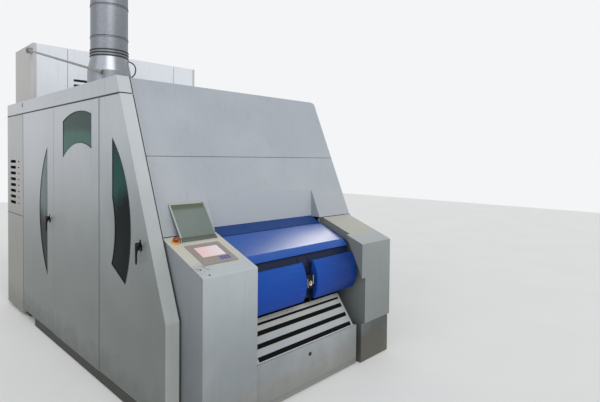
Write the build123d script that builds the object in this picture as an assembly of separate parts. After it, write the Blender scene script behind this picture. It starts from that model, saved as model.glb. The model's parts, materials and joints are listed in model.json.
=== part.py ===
from build123d import *
from math import acos, atan2, cos, degrees, radians, sin, sqrt, tan
import os

# Carding machine. Millimetres, z up from the floor, x to the right as seen from the front.
# While the pieces are drawn, y = 0 lies just behind the front face of the casing and y grows
# to the back. At the end everything is shifted so that the origin is the middle of the footprint.

# Casing
half_width = 1040.0
plinth_height = 80.0
kink_height = 688.0
eave_height = 2140.0
roof_band = 122.0
roof_height = eave_height + roof_band
front_rake = 23.6
casing_front = -32.0
first_seam = 952.0
middle_length = 1005.0
second_seam = first_seam + middle_length
rear_door_length = 952.0
third_seam = second_seam + rear_door_length
rear_length = 611.0
casing_back = third_seam + rear_length
seam_gap = 8.0
head_gap = 8.0
sheet = 2.5
door_depth = 32.0
panel_depth = 34.7
seat_gap = 0.3
pin_play = 0.06

# Doors
flange_width = 100.0
flange_return = 28.0
door_lift = 4.0
pivot_inset_x = 10.0
pivot_inset_y = 7.5
pivot_radius = 4.0
pivot_plate = 3.0
handle_height = 1128.0
handle_inset = 123.0
rear_handle_inset = 103.0
spindle_radius = 8.0
boss_radius = 15.0
boss_length = 26.0
lever_length = 118.0
lever_thickness = 12.0
lever_tip_radius = 8.0
tongue_inset = 20.0
tongue_thickness = 4.0
tongue_length = 45.0
tongue_half = 9.0
escutcheon = 4.0
escutcheon_height = 72.0
escutcheon_width = 40.0
escutcheon_drop = 6.0

# Windows: a leaf in each front door, half a lens in each rear door, an arch in each middle panel
window_lap = 14.0
window_thickness = 4.0
leaf_foot_inset = 445.0
leaf_foot_height = 822.0
leaf_bow_inset = 521.0
leaf_bow_height = 1290.0
leaf_tip_inset = 236.0
leaf_tip_height = 1827.0
leaf_shoulder_height = 1400.0
leaf_waist_inset = 278.0
leaf_waist_height = 1165.0
leaf_corner_inset = 223.0
leaf_corner_height = 927.0
lens_inset = 177.0
lens_low = 587.0
lens_high = 1774.0
lens_width = 226.0
lens_bow_height = 1200.0
arch_front_inset = 141.0
arch_back_inset = 242.0
arch_peak_inset = 378.0
arch_peak_drop = 82.0
arch_front_drop = 119.0
arch_back_drop = 148.0
arch_foot_peak_drop = 340.0
arch_foot_front_drop = 387.0
arch_foot_back_drop = 460.0

# Hood
hood_inset = 107.0
hood_left = hood_inset - half_width
hood_setback = 31.0
hood_sheet = 3.0
hood_return = 28.0
hood_side_return = 45.0
hood_edge_radius = 20.0
hood_corner_radius = 60.0
corner_facets = 8
hood_seam_height = 1698.0
hood_foot_height = 1168.0
recess_height = 1409.0
recess_foot_height = 1172.0

# Consoles
left_console_inset = 108.0
left_console_outer = left_console_inset - half_width
left_console_width = 414.0
left_console_inner = left_console_outer + left_console_width
right_console_inset = 30.0
right_console_outer = half_width - right_console_inset
right_console_width = 407.0
right_console_inner = right_console_outer - right_console_width
console_front = -262.0
console_front_height = 990.0
console_back_height = 1163.0
console_sheet = 3.0
console_crease = 14.0
console_tail = 12.0
left_console_foot = 60.0
right_console_foot_height = 327.0
side_recess = 45.0
recess_low = 706.0
recess_high = 1030.0
recess_high_y = -96.0
foot_inset = 12.0
foot_clearance = 6.0

# Touch panel, its hinged cover and the emergency stop, placed on the left console's top
bezel_inset = 85.0
bezel_left = left_console_outer + bezel_inset
bezel_width = 260.0
bezel_right = bezel_left + bezel_width
bezel_low = 119.0
bezel_length = 245.0
bezel_thickness = 6.0
screen_border = 42.0
screen_low = 82.0
screen_length = 122.0
screen_depth = 1.5
flap_hinge = 418.0
flap_axis_height = 9.0
flap_length = 288.0
flap_thickness = 5.0
flap_corner = 14.0
flap_side = 7.0
flap_rod_radius = 4.0
lug_thickness = 5.0
lug_half = 8.0
stop_inset = 55.0
stop_left = left_console_outer + stop_inset
stop_low = 425.0
stop_radius = 20.0
stop_stem_radius = 8.0
stop_stem_tail = 6.0
stop_height = 24.0
stop_edge = 6.0
stop_travel = 4.0
stop_ring_radius = 24.0
stop_ring_height = 12.0

# Delivery: blue covers between the consoles
cover_gap = 6.0
strip_back_height = 1176.0
lid_back_y = 200.0
lid_back_height = 1119.0
lid_front_y = -58.0
lid_front_height = 1014.0
lip_y = -108.0
lip_height = 967.0
cover_sheet = 3.0
lid_return = 22.0
lid_pin_back = 12.0
lid_pin_depth = 7.5
pin_nose = 4.0
strip_gap = 7.0
web_top_y = -158.0
web_top_height = 918.0
web_bulge_y = -205.0
web_bulge_height = 800.0
web_foot_y = -172.0
web_foot_height = 630.0
web_depth = 30.0
web_pin_inset = 16.0
slot_centre = 60.0
slot_width = 118.0
cheek = 6.0
cheek_back = 160.0
apron_clearance = 9.0
apron_lap = 2.0
leg_half = 8.0
tray_height = 604.0
tray_back = 120.0
foot_block = 60.0
housing_back_height = 900.0
housing_top_height = 1040.0
trumpet_height = 120.0
trumpet_low = 700.0
trumpet_mouth = 24.0
trumpet_bore = 6.0
trumpet_tail = 30.0
trumpet_proud = 22.0

# Louvre panel, lower cover and kick strip
louvre_foot_y = -240.0
louvre_foot_height = 340.0
louvre_rake = 36.9
louvre_length = 285.0
louvre_depth = 12.0
louvre_left_gap = 23.0
louvre_left = left_console_inner + louvre_left_gap
louvre_right_gap = 83.0
louvre_right = right_console_inner - louvre_right_gap
louvre_stile = 20.0
slot_first = 25.0
slot_pitch = 80.0
slot_height = 32.0
top_slot_rise = 220.0
top_slot_height = 17.0
lower_cover_left_gap = 6.0
lower_cover_left = left_console_inner + lower_cover_left_gap
lower_cover_right_gap = 43.0
lower_cover_right = right_console_inner - lower_cover_right_gap
lower_cover_foot = 58.0
lower_cover_depth = 25.0
lower_cover_pin_inset = 12.0
lock_x = 5.0
lock_height = 262.0
lock_radius = 9.0
lock_flange = 5.0
kick_left_lap = 5.0
kick_left = lower_cover_left - kick_left_lap
kick_right_lap = 20.0
kick_right = lower_cover_right + kick_right_lap
kick_front = -224.0
kick_depth = 50.0
kick_foot = 8.0
kick_gap = 6.0
cover_lug_gap = 1.0
cover_lug = 3.0
kick_arm = 30.0
kick_arm_inset = 60.0

# Rear section and feed tower
rear_foot = 38.0
rear_split_height = 1067.0
groove = 4.0
grille_inset = 281.0
grille_width = 215.0
grille_count = 8
grille_pitch = 64.0
grille_slot = 32.0
grille_top = 1646.0
vent_inset = 145.0
vent_width = 60.0
vent_slot = 12.0
tower_left_inset = 101.0
tower_left = tower_left_inset - half_width
tower_right_inset = 3.0
tower_right = half_width - tower_right_inset
tower_setback = 21.0
tower_front = third_seam + tower_setback
tower_overhang = 80.0
tower_back = casing_back + tower_overhang
tower_rise = 633.0
tower_height = roof_height + tower_rise
tower_sheet = 3.0
tower_left_strip = 343.0
tower_left_seam = tower_left + tower_left_strip
tower_right_strip = 318.0
tower_right_seam = tower_right - tower_right_strip
tower_slot_inset = 65.0
tower_slot_left = tower_left_seam + tower_slot_inset
tower_slot_width = 158.0
tower_slot_height = 27.0
tower_slot_pitch = 56.0
tower_slot_count = 3
tower_slot_drop = 333.0
inlet_radius = 125.0
inlet_height = 60.0
inlet_inset = 200.0
back_foot = 60.0
back_inset = 3.0

# Feed chute, measured from the tower's front and up from the feed tray
chute_wall = 4.0
chute_rise = 30.0
chute_inset = 10.0
chute_start = 12.0
chute_foot = 58.0
chute_foot_rise = 110.0
chute_knee = 180.0
chute_knee_rise = 360.0
chute_knee_back = 60.0
mouth_near = 280.0
mouth_far = 420.0
feed_lip = 20.0
tray_thickness = 14.0
tray_clearance = 2.0
nose_clearance = 3.0
slit_height = 100.0

# Roof duct and stay rod
duct_inset = 284.0
duct_x = duct_inset - half_width
duct_y = 1440.0
duct_radius = 150.0
duct_wall = 3.0
collar_radius = 174.0
collar_height = 150.0
cone_height = 120.0
pipe_length = 528.0
clamp_count = 3
clamp_low = 1.5
clamp_pitch = 24.0
clamp_height = 9.0
clamp_proud = 5.0
lap_low = 156.0
lap_high = 421.0
lap_height = 14.0
lap_proud = 2.0
stay_inset = 52.0
stay_x = stay_inset - half_width
stay_foot_y = 985.0
stay_foot_rise = 64.0
stay_foot_height = roof_height + stay_foot_rise
stay_head_inset = 32.0
stay_head_y = tower_front + stay_head_inset
stay_head_drop = 80.0
stay_head_height = tower_height - stay_head_drop
stay_radius = 10.0

# Rolls
roll_centre = 40.0
drive_room = 440.0
working_width = 2 * (half_width - drive_room)
frame_gap = 20.0
side_plate = 25.0
cylinder_y = 1640.0
cylinder_height = 1010.0
cylinder_radius = 643.5
cylinder_shaft = 45.0
doffer_y = 717.0
doffer_height = 640.0
doffer_radius = 350.0
doffer_shaft = 35.0
licker_angle = -20.0
licker_radius = 125.0
licker_shaft = 25.0
wire_gap = 1.0
feed_radius = 50.0
feed_shaft = 20.0
feed_angle = 20.0
stripper_radius = 60.0
stripper_shaft = 18.0
stripper_angle = 155.0
crush_radius = 35.0
crush_shaft = 15.0
crush_y = 228.0
crush_height = 818.0
crush_gap = 0.6
bearing_wall = 30.0
bearing_width = 34.0
shaft_end = 8.0
flat_count = 30
flat_pitch = 36.7
flat_width = 34.0
flat_thickness = 30.0
screen_thickness = 3.0
screen_clearance = 12.0
screen_half = 500.0
screen_drop = 900.0

# Drive
pulley_radius = 200.0
pulley_width = 44.0
motor_pulley_radius = 60.0
belt_thickness = 6.0
motor_y = 2380.0
motor_height = 262.0
motor_radius = 125.0
motor_length = 230.0
motor_shaft = 24.0
motor_bore = 60.0
motor_gap = 30.0

# Suction manifold
manifold_foot = 1760.0
manifold_lap = 15.0
header_height = 150.0
header_half = 90.0

# Frame bars
bar = 40.0
post_inset = 35.0
post_x = half_width - post_inset
rail_width = 40.0
rail_wall = 6.0
rail_foot = 8.0
rail_front = -20.0
rail_back = 2520.0
cross_width = 80.0
cross_height = 60.0
motor_cross_y = 2240.0
rear_sill = 24.0
foot_pad_radius = 35.0
foot_pad_thickness = 12.0
foot_stud_radius = 8.0


def outline(points):
    """Face in the side view, from (y, z) points."""
    return Plane.YZ * make_face(Polyline(*points, close=True))


def slab(points, x_from, x_to):
    """Plate with the given side view, from one x to another."""
    return Pos(x_from, 0, 0) * extrude(outline(points), amount=x_to - x_from, dir=(1, 0, 0))


def block(x_from, x_to, y_from, y_to, z_from, z_to):
    """Square-cut bar between opposite corners."""
    size = (x_to - x_from, y_to - y_from, z_to - z_from)
    return Pos(x_from, y_from, z_from) * Box(*size, align=(Align.MIN, Align.MIN, Align.MIN))


def rod_x(radius, x_from, x_to, y, z):
    """Round bar along x."""
    body = Cylinder(radius, x_to - x_from, align=(Align.CENTER, Align.CENTER, Align.MIN))
    return Pos(x_from, y, z) * (Rot(0, 90, 0) * body)


rake = radians(front_rake)
frame_front = casing_front + hood_setback + hood_return


def front_y(inset, z):
    """Depth of the casing's front outline at height z, set inwards square to the sheet."""
    raked = casing_front + (z - kink_height) * tan(rake) + inset / cos(rake)
    return max(raked, casing_front + inset)


def front_line(inset, z_from, z_to):
    """Front outline from one height to another, bent at the kink when it passes it."""
    points = [(front_y(inset, z_from), z_from)]
    bend = kink_height - inset * tan(rake / 2)
    if z_from < bend < z_to:
        points.append((casing_front + inset, bend))
    points.append((front_y(inset, z_to), z_to))
    return points


def front_strip(inset_from, inset_to, z_from, z_to, x_from, x_to):
    """Sheet or bar that follows the front outline."""
    back = front_line(inset_to, z_from, z_to)
    return slab(front_line(inset_from, z_from, z_to) + back[::-1], x_from, x_to)


def pan(face, depth):
    """Folded sheet panel of the left side: skin outside, edges turned inwards by depth."""
    skin = extrude(face, amount=depth, dir=(1, 0, 0))
    hollow = extrude(offset(face, amount=-sheet), amount=depth, dir=(1, 0, 0))
    return Pos(-half_width, 0, 0) * (skin - Pos(sheet, 0, 0) * hollow)


def to_right(piece):
    """The same piece on the right side of the machine."""
    return mirror(piece, about=Plane.YZ)


def leaf_window():
    """Leaf-shaped window of a front door."""
    tip = (first_seam - leaf_tip_inset, leaf_tip_height)
    shoulder = (first_seam - leaf_tip_inset, leaf_shoulder_height)
    waist = (first_seam - leaf_waist_inset, leaf_waist_height)
    corner = (first_seam - leaf_corner_inset, leaf_corner_height)
    foot = (first_seam - leaf_foot_inset, leaf_foot_height)
    bow = (first_seam - leaf_bow_inset, leaf_bow_height)
    front = ThreePointArc(foot, bow, tip)
    back = Line(tip, shoulder) + ThreePointArc(shoulder, waist, corner)
    return Plane.YZ * make_face(front + back + Line(corner, foot))


def lens_window():
    """Half-lens window of a rear door."""
    front = second_seam + lens_inset
    low = (front, lens_low)
    high = (front, lens_high)
    bow = (front + lens_width, lens_bow_height)
    return Plane.YZ * make_face(Line(low, high) + ThreePointArc(high, bow, low))


def arch_window():
    """Arched window of a middle panel."""
    front = first_seam + arch_front_inset
    back = second_seam - arch_back_inset
    peak = first_seam + arch_peak_inset
    low_front = (front, eave_height - arch_foot_front_drop)
    high_front = (front, eave_height - arch_front_drop)
    high_back = (back, eave_height - arch_back_drop)
    low_back = (back, eave_height - arch_foot_back_drop)
    top = ThreePointArc(high_front, (peak, eave_height - arch_peak_drop), high_back)
    low = ThreePointArc(low_back, (peak, eave_height - arch_foot_peak_drop), low_front)
    return Plane.YZ * make_face(Line(low_front, high_front) + top + Line(high_back, low_back) + low)


def pane(window):
    """Window pane behind the skin, lapping the cut-out all round."""
    glass = extrude(offset(window, amount=window_lap), amount=window_thickness, dir=(1, 0, 0))
    return Pos(-half_width + sheet + seat_gap, 0, 0) * glass


def cut(window):
    """Window cut-out through a skin."""
    return Pos(-half_width - 1, 0, 0) * extrude(window, amount=sheet + 2, dir=(1, 0, 0))


pivot_x = -half_width + pivot_inset_x
door_foot = plinth_height + door_lift
door_head = eave_height - head_gap


def pivot_y(seam):
    return seam - seam_gap / 2 - pivot_inset_y


def pivot_holes(seam):
    """Holes in the top and bottom turned edges of a door, for its two pivots."""
    hole = Cylinder(pivot_radius + pin_play, 3 * sheet)
    low = Pos(pivot_x, pivot_y(seam), door_foot) * hole
    return low + Pos(pivot_x, pivot_y(seam), door_head) * hole


def escutcheon_plate(y):
    """Oval plate on a door's skin, with the hole for the handle's spindle."""
    oval = SlotOverall(escutcheon_height, escutcheon_width, rotation=90)
    face = Plane.YZ * (Pos(y, handle_height - escutcheon_drop) * oval)
    return Pos(-half_width - escutcheon, 0, 0) * extrude(face, amount=escutcheon, dir=(1, 0, 0))


def spindle_hole(y):
    hole = spindle_radius + pin_play
    return rod_x(hole, -half_width - 2 * escutcheon, -half_width + 2 * sheet, y, handle_height)


def lever_handle(y):
    """Lever handle: spindle through the door, boss, lever hanging down and a latch tongue inside."""
    skin = -half_width - escutcheon
    tongue_x = -half_width + tongue_inset
    spindle = rod_x(spindle_radius, skin - boss_length / 2, tongue_x, y, handle_height)
    boss = rod_x(boss_radius, skin - boss_length, skin - seat_gap, y, handle_height)
    lever_outline = Plane.YZ * make_hull(
        (Pos(y, handle_height) * Circle(boss_radius)).edges()
        + (Pos(y, handle_height - lever_length) * Circle(lever_tip_radius)).edges()
    )
    lever_x = skin - boss_length - lever_thickness
    lever = Pos(lever_x, 0, 0) * extrude(lever_outline, amount=lever_thickness, dir=(1, 0, 0))
    tongue_ends = (y - tongue_length, y + tongue_half)
    tongue_sides = (handle_height - tongue_half, handle_height + tongue_half)
    tongue = block(tongue_x - tongue_thickness, tongue_x, *tongue_ends, *tongue_sides)
    return spindle + boss + lever + tongue


# Doors and panels of the left side

front_back_edge = first_seam - seam_gap / 2
left_front_edge = front_line(0, door_foot, door_head)
left_front_face = outline(left_front_edge + [(front_back_edge, door_head), (front_back_edge, door_foot)])
left_handle_y = front_y(0, handle_height) + handle_inset
left_front_door = pan(left_front_face, door_depth)
left_front_door += front_strip(0, sheet, door_foot, door_head, -half_width, -half_width + flange_width)
flange_inner = -half_width + flange_width
left_front_door += front_strip(0, flange_return, door_foot, door_head, flange_inner - sheet, flange_inner)
left_front_door += escutcheon_plate(left_handle_y)
left_front_door -= cut(leaf_window()) + pivot_holes(first_seam) + spindle_hole(left_handle_y)
left_front_window = pane(leaf_window())
left_front_handle = lever_handle(left_handle_y)

rear_handle_y = second_seam + rear_handle_inset


def rear_door():
    front = second_seam + seam_gap / 2
    back = third_seam - seam_gap / 2
    face = outline([(front, door_foot), (front, door_head), (back, door_head), (back, door_foot)])
    door = pan(face, door_depth) + escutcheon_plate(rear_handle_y)
    return door - (cut(lens_window()) + pivot_holes(third_seam) + spindle_hole(rear_handle_y))


def middle_panel():
    front = first_seam + seam_gap / 2
    back = second_seam - seam_gap / 2
    low = plinth_height + seat_gap
    high = eave_height - head_gap
    face = outline([(front, low), (front, high), (back, high), (back, low)])
    return pan(face, panel_depth) - cut(arch_window())


def rear_panel():
    front = third_seam + seam_gap / 2
    high = eave_height - head_gap
    face = outline([(front, rear_foot), (front, high), (casing_back, high), (casing_back, rear_foot)])
    panel = pan(face, panel_depth)
    through = (-half_width - 1, -half_width + sheet + 1)
    grille_front = third_seam + grille_inset
    vent_front = third_seam + vent_inset
    for row in range(grille_count):
        top = grille_top - row * grille_pitch
        middle = top - grille_slot / 2
        vent_ends = (middle - vent_slot / 2, middle + vent_slot / 2)
        panel -= block(*through, grille_front, grille_front + grille_width, top - grille_slot, top)
        panel -= block(*through, vent_front, vent_front + vent_width, *vent_ends)
    line_ends = (rear_split_height, rear_split_height + groove)
    return panel - block(-half_width - 1, -half_width + sheet / 2, front, casing_back, *line_ends)


left_rear_door = rear_door()
left_rear_window = pane(lens_window())
left_rear_handle = lever_handle(rear_handle_y)
left_middle_panel = middle_panel()
left_rear_panel = rear_panel()

# Right side: the hood turns the corner here, so the front door stops behind its turned edge

right_edge_inset = hood_setback + hood_side_return + seam_gap
right_front_edge = front_line(right_edge_inset, door_foot, door_head)
right_front_face = outline(right_front_edge + [(front_back_edge, door_head), (front_back_edge, door_foot)])
right_handle_y = front_y(right_edge_inset, handle_height) + handle_inset
right_front_door = pan(right_front_face, door_depth) + escutcheon_plate(right_handle_y)
right_front_door -= cut(leaf_window()) + pivot_holes(first_seam) + spindle_hole(right_handle_y)
right_front_door = to_right(right_front_door)
right_front_window = to_right(pane(leaf_window()))
right_front_handle = to_right(lever_handle(right_handle_y))
right_rear_door = to_right(left_rear_door)
right_rear_window = to_right(left_rear_window)
right_rear_handle = to_right(left_rear_handle)
right_middle_panel = to_right(left_middle_panel)
right_rear_panel = to_right(left_rear_panel)
middle_pane = pane(arch_window())
middle_windows = Compound([middle_pane, to_right(middle_pane)])

# Roof cover: top sheet, side bands down to the eaves and the corner return over the left flange

roof_front = front_y(hood_setback + hood_return + seam_gap, roof_height)
roof_cover = block(-half_width, half_width, roof_front, casing_back, eave_height, roof_height)
roof_cover -= block(
    -half_width + sheet,
    half_width - sheet,
    roof_front + sheet,
    casing_back - sheet,
    eave_height - 1,
    roof_height - sheet,
)
corner_back = roof_front + 1
corner = front_line(0, eave_height, roof_height) + [(corner_back, roof_height), (corner_back, eave_height)]
corner_shell = slab(corner, -half_width, -half_width + flange_width)
inner_corner = front_line(sheet, eave_height - 1, roof_height - sheet)
inner_back = roof_front + 2 * sheet
inner_corner += [(inner_back, roof_height - sheet), (inner_back, eave_height - 1)]
corner_shell -= slab(inner_corner, -half_width + sheet, -half_width + flange_width - sheet)
roof_cover += corner_shell
roof_cover -= Pos(duct_x, duct_y, roof_height) * Cylinder(duct_radius - duct_wall, 4 * sheet)
for side in (-1, 1):
    skin = sorted((side * (half_width + 1), side * (half_width - sheet / 2)))
    seam_ends = (third_seam - groove / 2, third_seam + groove / 2)
    roof_cover -= block(*skin, *seam_ends, eave_height - 1, roof_height + 1)

# Hood: two raked panels, each a bent sheet with a rounded right edge

up_rake = Vector(0, sin(rake), cos(rake))
hood_profile = [(hood_left, hood_return), (hood_left, 0), (half_width, 0), (half_width, hood_side_return)]


def hood_plane(z):
    """Plane square to the rake at height z on the hood's face: local x across, local y inwards."""
    return Plane(origin=(0, front_y(hood_setback, z), z), x_dir=(1, 0, 0), z_dir=up_rake)


def hood_section():
    """Sheet section: left return, face, rounded right edge and right return."""
    outer = FilletPolyline(*hood_profile, radius=hood_edge_radius)
    inner = FilletPolyline(
        (half_width - hood_sheet, hood_side_return),
        (half_width - hood_sheet, hood_sheet),
        (hood_left + hood_sheet, hood_sheet),
        (hood_left + hood_sheet, hood_return),
        radius=hood_edge_radius - hood_sheet,
    )
    ends = Line(inner @ 1, outer @ 0) + Line(outer @ 1, inner @ 0)
    return make_face(outer + inner + ends)


def hood_sheet_between(z_from, z_to):
    length = (z_to - z_from) / cos(rake)
    return extrude(hood_plane(z_from) * hood_section(), amount=length, dir=up_rake)


def hood_envelope(z_from, z_to):
    """Everything inside the hood's outer surface between two heights."""
    outer = FilletPolyline(*hood_profile, radius=hood_edge_radius)
    section = make_face(outer + Line(outer @ 1, outer @ 0))
    return extrude(hood_plane(z_from) * section, amount=(z_to - z_from) / cos(rake), dir=up_rake)


def hood_edge(z, width_from, width_to):
    """Turned edge across the hood at height z, square to the face."""
    points = [(width_from, 0), (width_to, 0), (width_to, hood_return), (width_from, hood_return)]
    profile = make_face(Polyline(*points, close=True))
    return extrude(hood_plane(z) * profile, amount=hood_sheet, dir=up_rake)


hood_right_inner = half_width - hood_edge_radius
upper_hood = hood_sheet_between(hood_seam_height + groove / 2, roof_height)
upper_hood += hood_edge(hood_seam_height + groove / 2, hood_left, hood_right_inner)
upper_hood += hood_edge(roof_height - hood_sheet * cos(rake), hood_left, hood_right_inner)
corner_plane = Plane(
    origin=(half_width, front_y(hood_setback, roof_height), roof_height),
    x_dir=(1, 0, 0),
    z_dir=(0, cos(rake), -sin(rake)),
)


def corner_bend(radius):
    """Points round the hood's top right corner, from its right edge to its top edge."""
    points = []
    for step in range(corner_facets + 1):
        angle = radians(90 * step / corner_facets)
        points.append((radius * cos(angle) - hood_corner_radius, hood_corner_radius - radius * sin(angle)))
    return points


beyond = [(-hood_corner_radius, -1), (1, -1), (1, hood_corner_radius)]
corner_cut = make_face(Polyline(*corner_bend(hood_corner_radius), *beyond, close=True))
rim_inside = corner_bend(hood_corner_radius - hood_sheet)[::-1]
corner_rim = make_face(Polyline(*corner_bend(hood_corner_radius), *rim_inside, close=True))
upper_hood -= Pos(0, -1, 0) * extrude(corner_plane * corner_cut, amount=hood_side_return + 10)
upper_hood += extrude(corner_plane * corner_rim, amount=hood_return) & hood_envelope(eave_height, roof_height)
upper_hood -= block(
    hood_right_inner - hood_corner_radius,
    half_width + 1,
    roof_front - seam_gap / 2,
    roof_front + hood_side_return,
    eave_height,
    roof_height + 1,
)

lower_hood = hood_sheet_between(hood_foot_height, hood_seam_height - groove / 2)
lower_hood += hood_edge(hood_seam_height - groove / 2 - hood_sheet, hood_left, hood_right_inner)
recess_y = front_y(hood_setback, recess_height)
opening = [
    (front_y(hood_setback - 2, hood_foot_height) - 50, hood_foot_height - 20),
    (front_y(hood_setback - 2, hood_foot_height) - 50, recess_height),
    (recess_y + 2 * hood_sheet, recess_height),
    (recess_y + 2 * hood_sheet, hood_foot_height - 20),
]
lower_hood -= slab(opening, left_console_inner, right_console_inner)
lower_hood += block(
    left_console_inner - hood_sheet,
    right_console_inner + hood_sheet,
    recess_y,
    recess_y + hood_sheet,
    recess_foot_height,
    recess_height + hood_sheet,
)
gusset = [
    (front_y(hood_setback, hood_foot_height), hood_foot_height),
    (recess_y, recess_height),
    (recess_y + hood_sheet, recess_height),
    (recess_y + hood_sheet, hood_foot_height),
]
lower_hood += slab(gusset, left_console_inner - hood_sheet, left_console_inner)
lower_hood += slab(gusset, right_console_inner, right_console_inner + hood_sheet)
strip_left = right_console_outer + hood_sheet
strip_ends = (door_foot, hood_foot_height + 1)
lower_hood += front_strip(hood_setback, hood_setback + hood_sheet, *strip_ends, strip_left, half_width)
side_strip = (hood_setback, hood_setback + hood_side_return)
lower_hood += front_strip(*side_strip, *strip_ends, half_width - hood_sheet, half_width)

# Consoles: bent sheet housings, open towards the hood

console_back_y = front_y(hood_setback, console_back_height)
console_rake = atan2(console_back_height - console_front_height, console_back_y - console_front)
console_back_inset = hood_setback + hood_return - seat_gap


def console_outline(foot, margin):
    """Side view of a console. A margin above zero gives the hollow inside its sheet."""
    front = console_front + margin
    drop = margin / cos(console_rake)
    top_front = console_front_height + margin * tan(console_rake) - drop
    top_back = console_back_height - drop
    past_back = 4 * margin
    points = [(front, foot + margin), (front, top_front), (console_back_y, top_back)]
    back = front_line(console_back_inset + past_back, foot + margin, top_back - console_tail)
    return points + back[::-1]


def console(x_from, x_to, foot):
    shell = slab(console_outline(foot, 0), x_from, x_to)
    crease = (x_from, console_front, console_front_height)
    shell = fillet(shell.edges().filter_by(Axis.X).sort_by_distance(crease)[0], console_crease)
    hollow = slab(console_outline(foot, console_sheet), x_from + console_sheet, x_to - console_sheet)
    return shell - hollow


console_plane = Plane(
    origin=(0, console_front, console_front_height),
    x_dir=(1, 0, 0),
    z_dir=(0, -sin(console_rake), cos(console_rake)),
)


def on_console(x, along, above=0):
    """Place on the left console's top: x, distance up its slope, height above its sheet."""
    return console_plane * Pos(x, along, above)


def console_block(x_from, x_to, along_from, along_to, low, high):
    size = (x_to - x_from, along_to - along_from, high - low)
    return on_console(x_from, along_from, low) * Box(*size, align=(Align.MIN, Align.MIN, Align.MIN))


flap_left = bezel_left + flap_side
flap_right = bezel_right + 3 * flap_side


def flap_lug(x_from):
    """Lug on the console that carries one end of the cover's rod."""
    along = (flap_hinge - lug_half, flap_hinge + lug_half)
    lug = console_block(x_from, x_from + lug_thickness, *along, 0, flap_axis_height + lug_half)
    bore = Rot(0, 90, 0) * Cylinder(flap_rod_radius + pin_play, 4 * lug_thickness)
    return lug - on_console(x_from, flap_hinge, flap_axis_height) * bore


left_console = console(left_console_outer, left_console_inner, left_console_foot)
stop_ring = Cylinder(stop_ring_radius, stop_ring_height, align=(Align.CENTER, Align.CENTER, Align.MIN))
left_console += on_console(stop_left, stop_low) * stop_ring
left_console -= on_console(stop_left, stop_low) * Cylinder(stop_stem_radius + pin_play, 8 * stop_ring_height)
left_console += flap_lug(flap_left - lug_thickness - 1) + flap_lug(flap_right + 1)

right_console = console(right_console_inner, right_console_outer, right_console_foot_height)
recess_outline = [
    (console_front - 1, right_console_foot_height - 1),
    (console_front - 1, recess_low),
    (recess_high_y, recess_high),
    (recess_high_y, console_back_height + 1),
    (console_back_y + 1, console_back_height + 1),
    (console_back_y + 1, right_console_foot_height - 1),
]
recess_wall = right_console_inner + side_recess + console_sheet
inner_wall = slab(console_outline(right_console_foot_height, 0), right_console_inner, recess_wall)
right_console += inner_wall & slab(recess_outline, right_console_inner, recess_wall)
right_console -= slab(recess_outline, right_console_inner - 1, right_console_inner + side_recess)

right_console_foot = block(
    right_console_inner + foot_inset,
    right_console_outer - foot_inset,
    console_front + foot_inset,
    casing_front + console_back_inset,
    foot_clearance,
    right_console_foot_height - seat_gap,
)
right_console_foot -= block(
    right_console_inner + foot_inset + console_sheet,
    right_console_outer - foot_inset - console_sheet,
    console_front + foot_inset + console_sheet,
    casing_front + console_back_inset + 1,
    foot_clearance - 1,
    right_console_foot_height - seat_gap - console_sheet,
)

# Touch panel, hinged cover and emergency stop

touch_panel = console_block(bezel_left, bezel_right, bezel_low, bezel_low + bezel_length, 0, bezel_thickness)
screen_from = bezel_low + screen_low
touch_panel -= console_block(
    bezel_left + screen_border,
    bezel_right - screen_border,
    screen_from,
    screen_from + screen_length,
    bezel_thickness - screen_depth,
    bezel_thickness + 1,
)

flap_middle = (flap_left + flap_right) / 2
flap_face = RectangleRounded(flap_right - flap_left, flap_length, flap_corner)
flap_plate = extrude(Pos(flap_middle, flap_length / 2) * flap_face, amount=flap_thickness / 2, both=True)
flap_rod = Rot(0, 90, 0) * Cylinder(flap_rod_radius, flap_right - flap_left + 2 * lug_thickness + 4)
flap_axis = console_plane.from_local_coords(Vector(0, flap_hinge, flap_axis_height))
flap_reach = sqrt(flap_length**2 + (flap_thickness / 2) ** 2)
hood_point = front_y(hood_setback, flap_axis.Z)
flap_to_hood = (hood_point - flap_axis.Y) * cos(rake) - seat_gap
flap_rest = degrees(acos(flap_to_hood / flap_reach) + atan2(flap_thickness / 2, flap_length)) - front_rake
flap_at_rest = Pos(0, flap_axis.Y, flap_axis.Z) * Rot(flap_rest, 0, 0)
screen_flap = flap_at_rest * (flap_plate + Pos(flap_middle, 0, 0) * flap_rod)

stem_length = stop_stem_tail + stop_ring_height + 2 * stop_travel
stop_stem = Cylinder(stop_stem_radius, stem_length, align=(Align.CENTER, Align.CENTER, Align.MIN))
stop_cap = Cylinder(stop_radius, stop_height, align=(Align.CENTER, Align.CENTER, Align.MIN))
stop_cap = fillet(stop_cap.edges().group_by(Axis.Z)[-1], stop_edge)
stop_button = Pos(0, 0, -stop_stem_tail) * stop_stem
stop_button += Pos(0, 0, stop_ring_height + stop_travel + seat_gap) * stop_cap
stop_button = on_console(stop_left, stop_low) * stop_button

# Web housing: fixed blue strip, end cheeks, dark apron behind the covers, tray and slot cheeks

cover_left = left_console_inner + cover_gap
cover_right = right_console_inner - cover_gap
slot_left = slot_centre - slot_width / 2
slot_right = slot_centre + slot_width / 2


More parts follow.
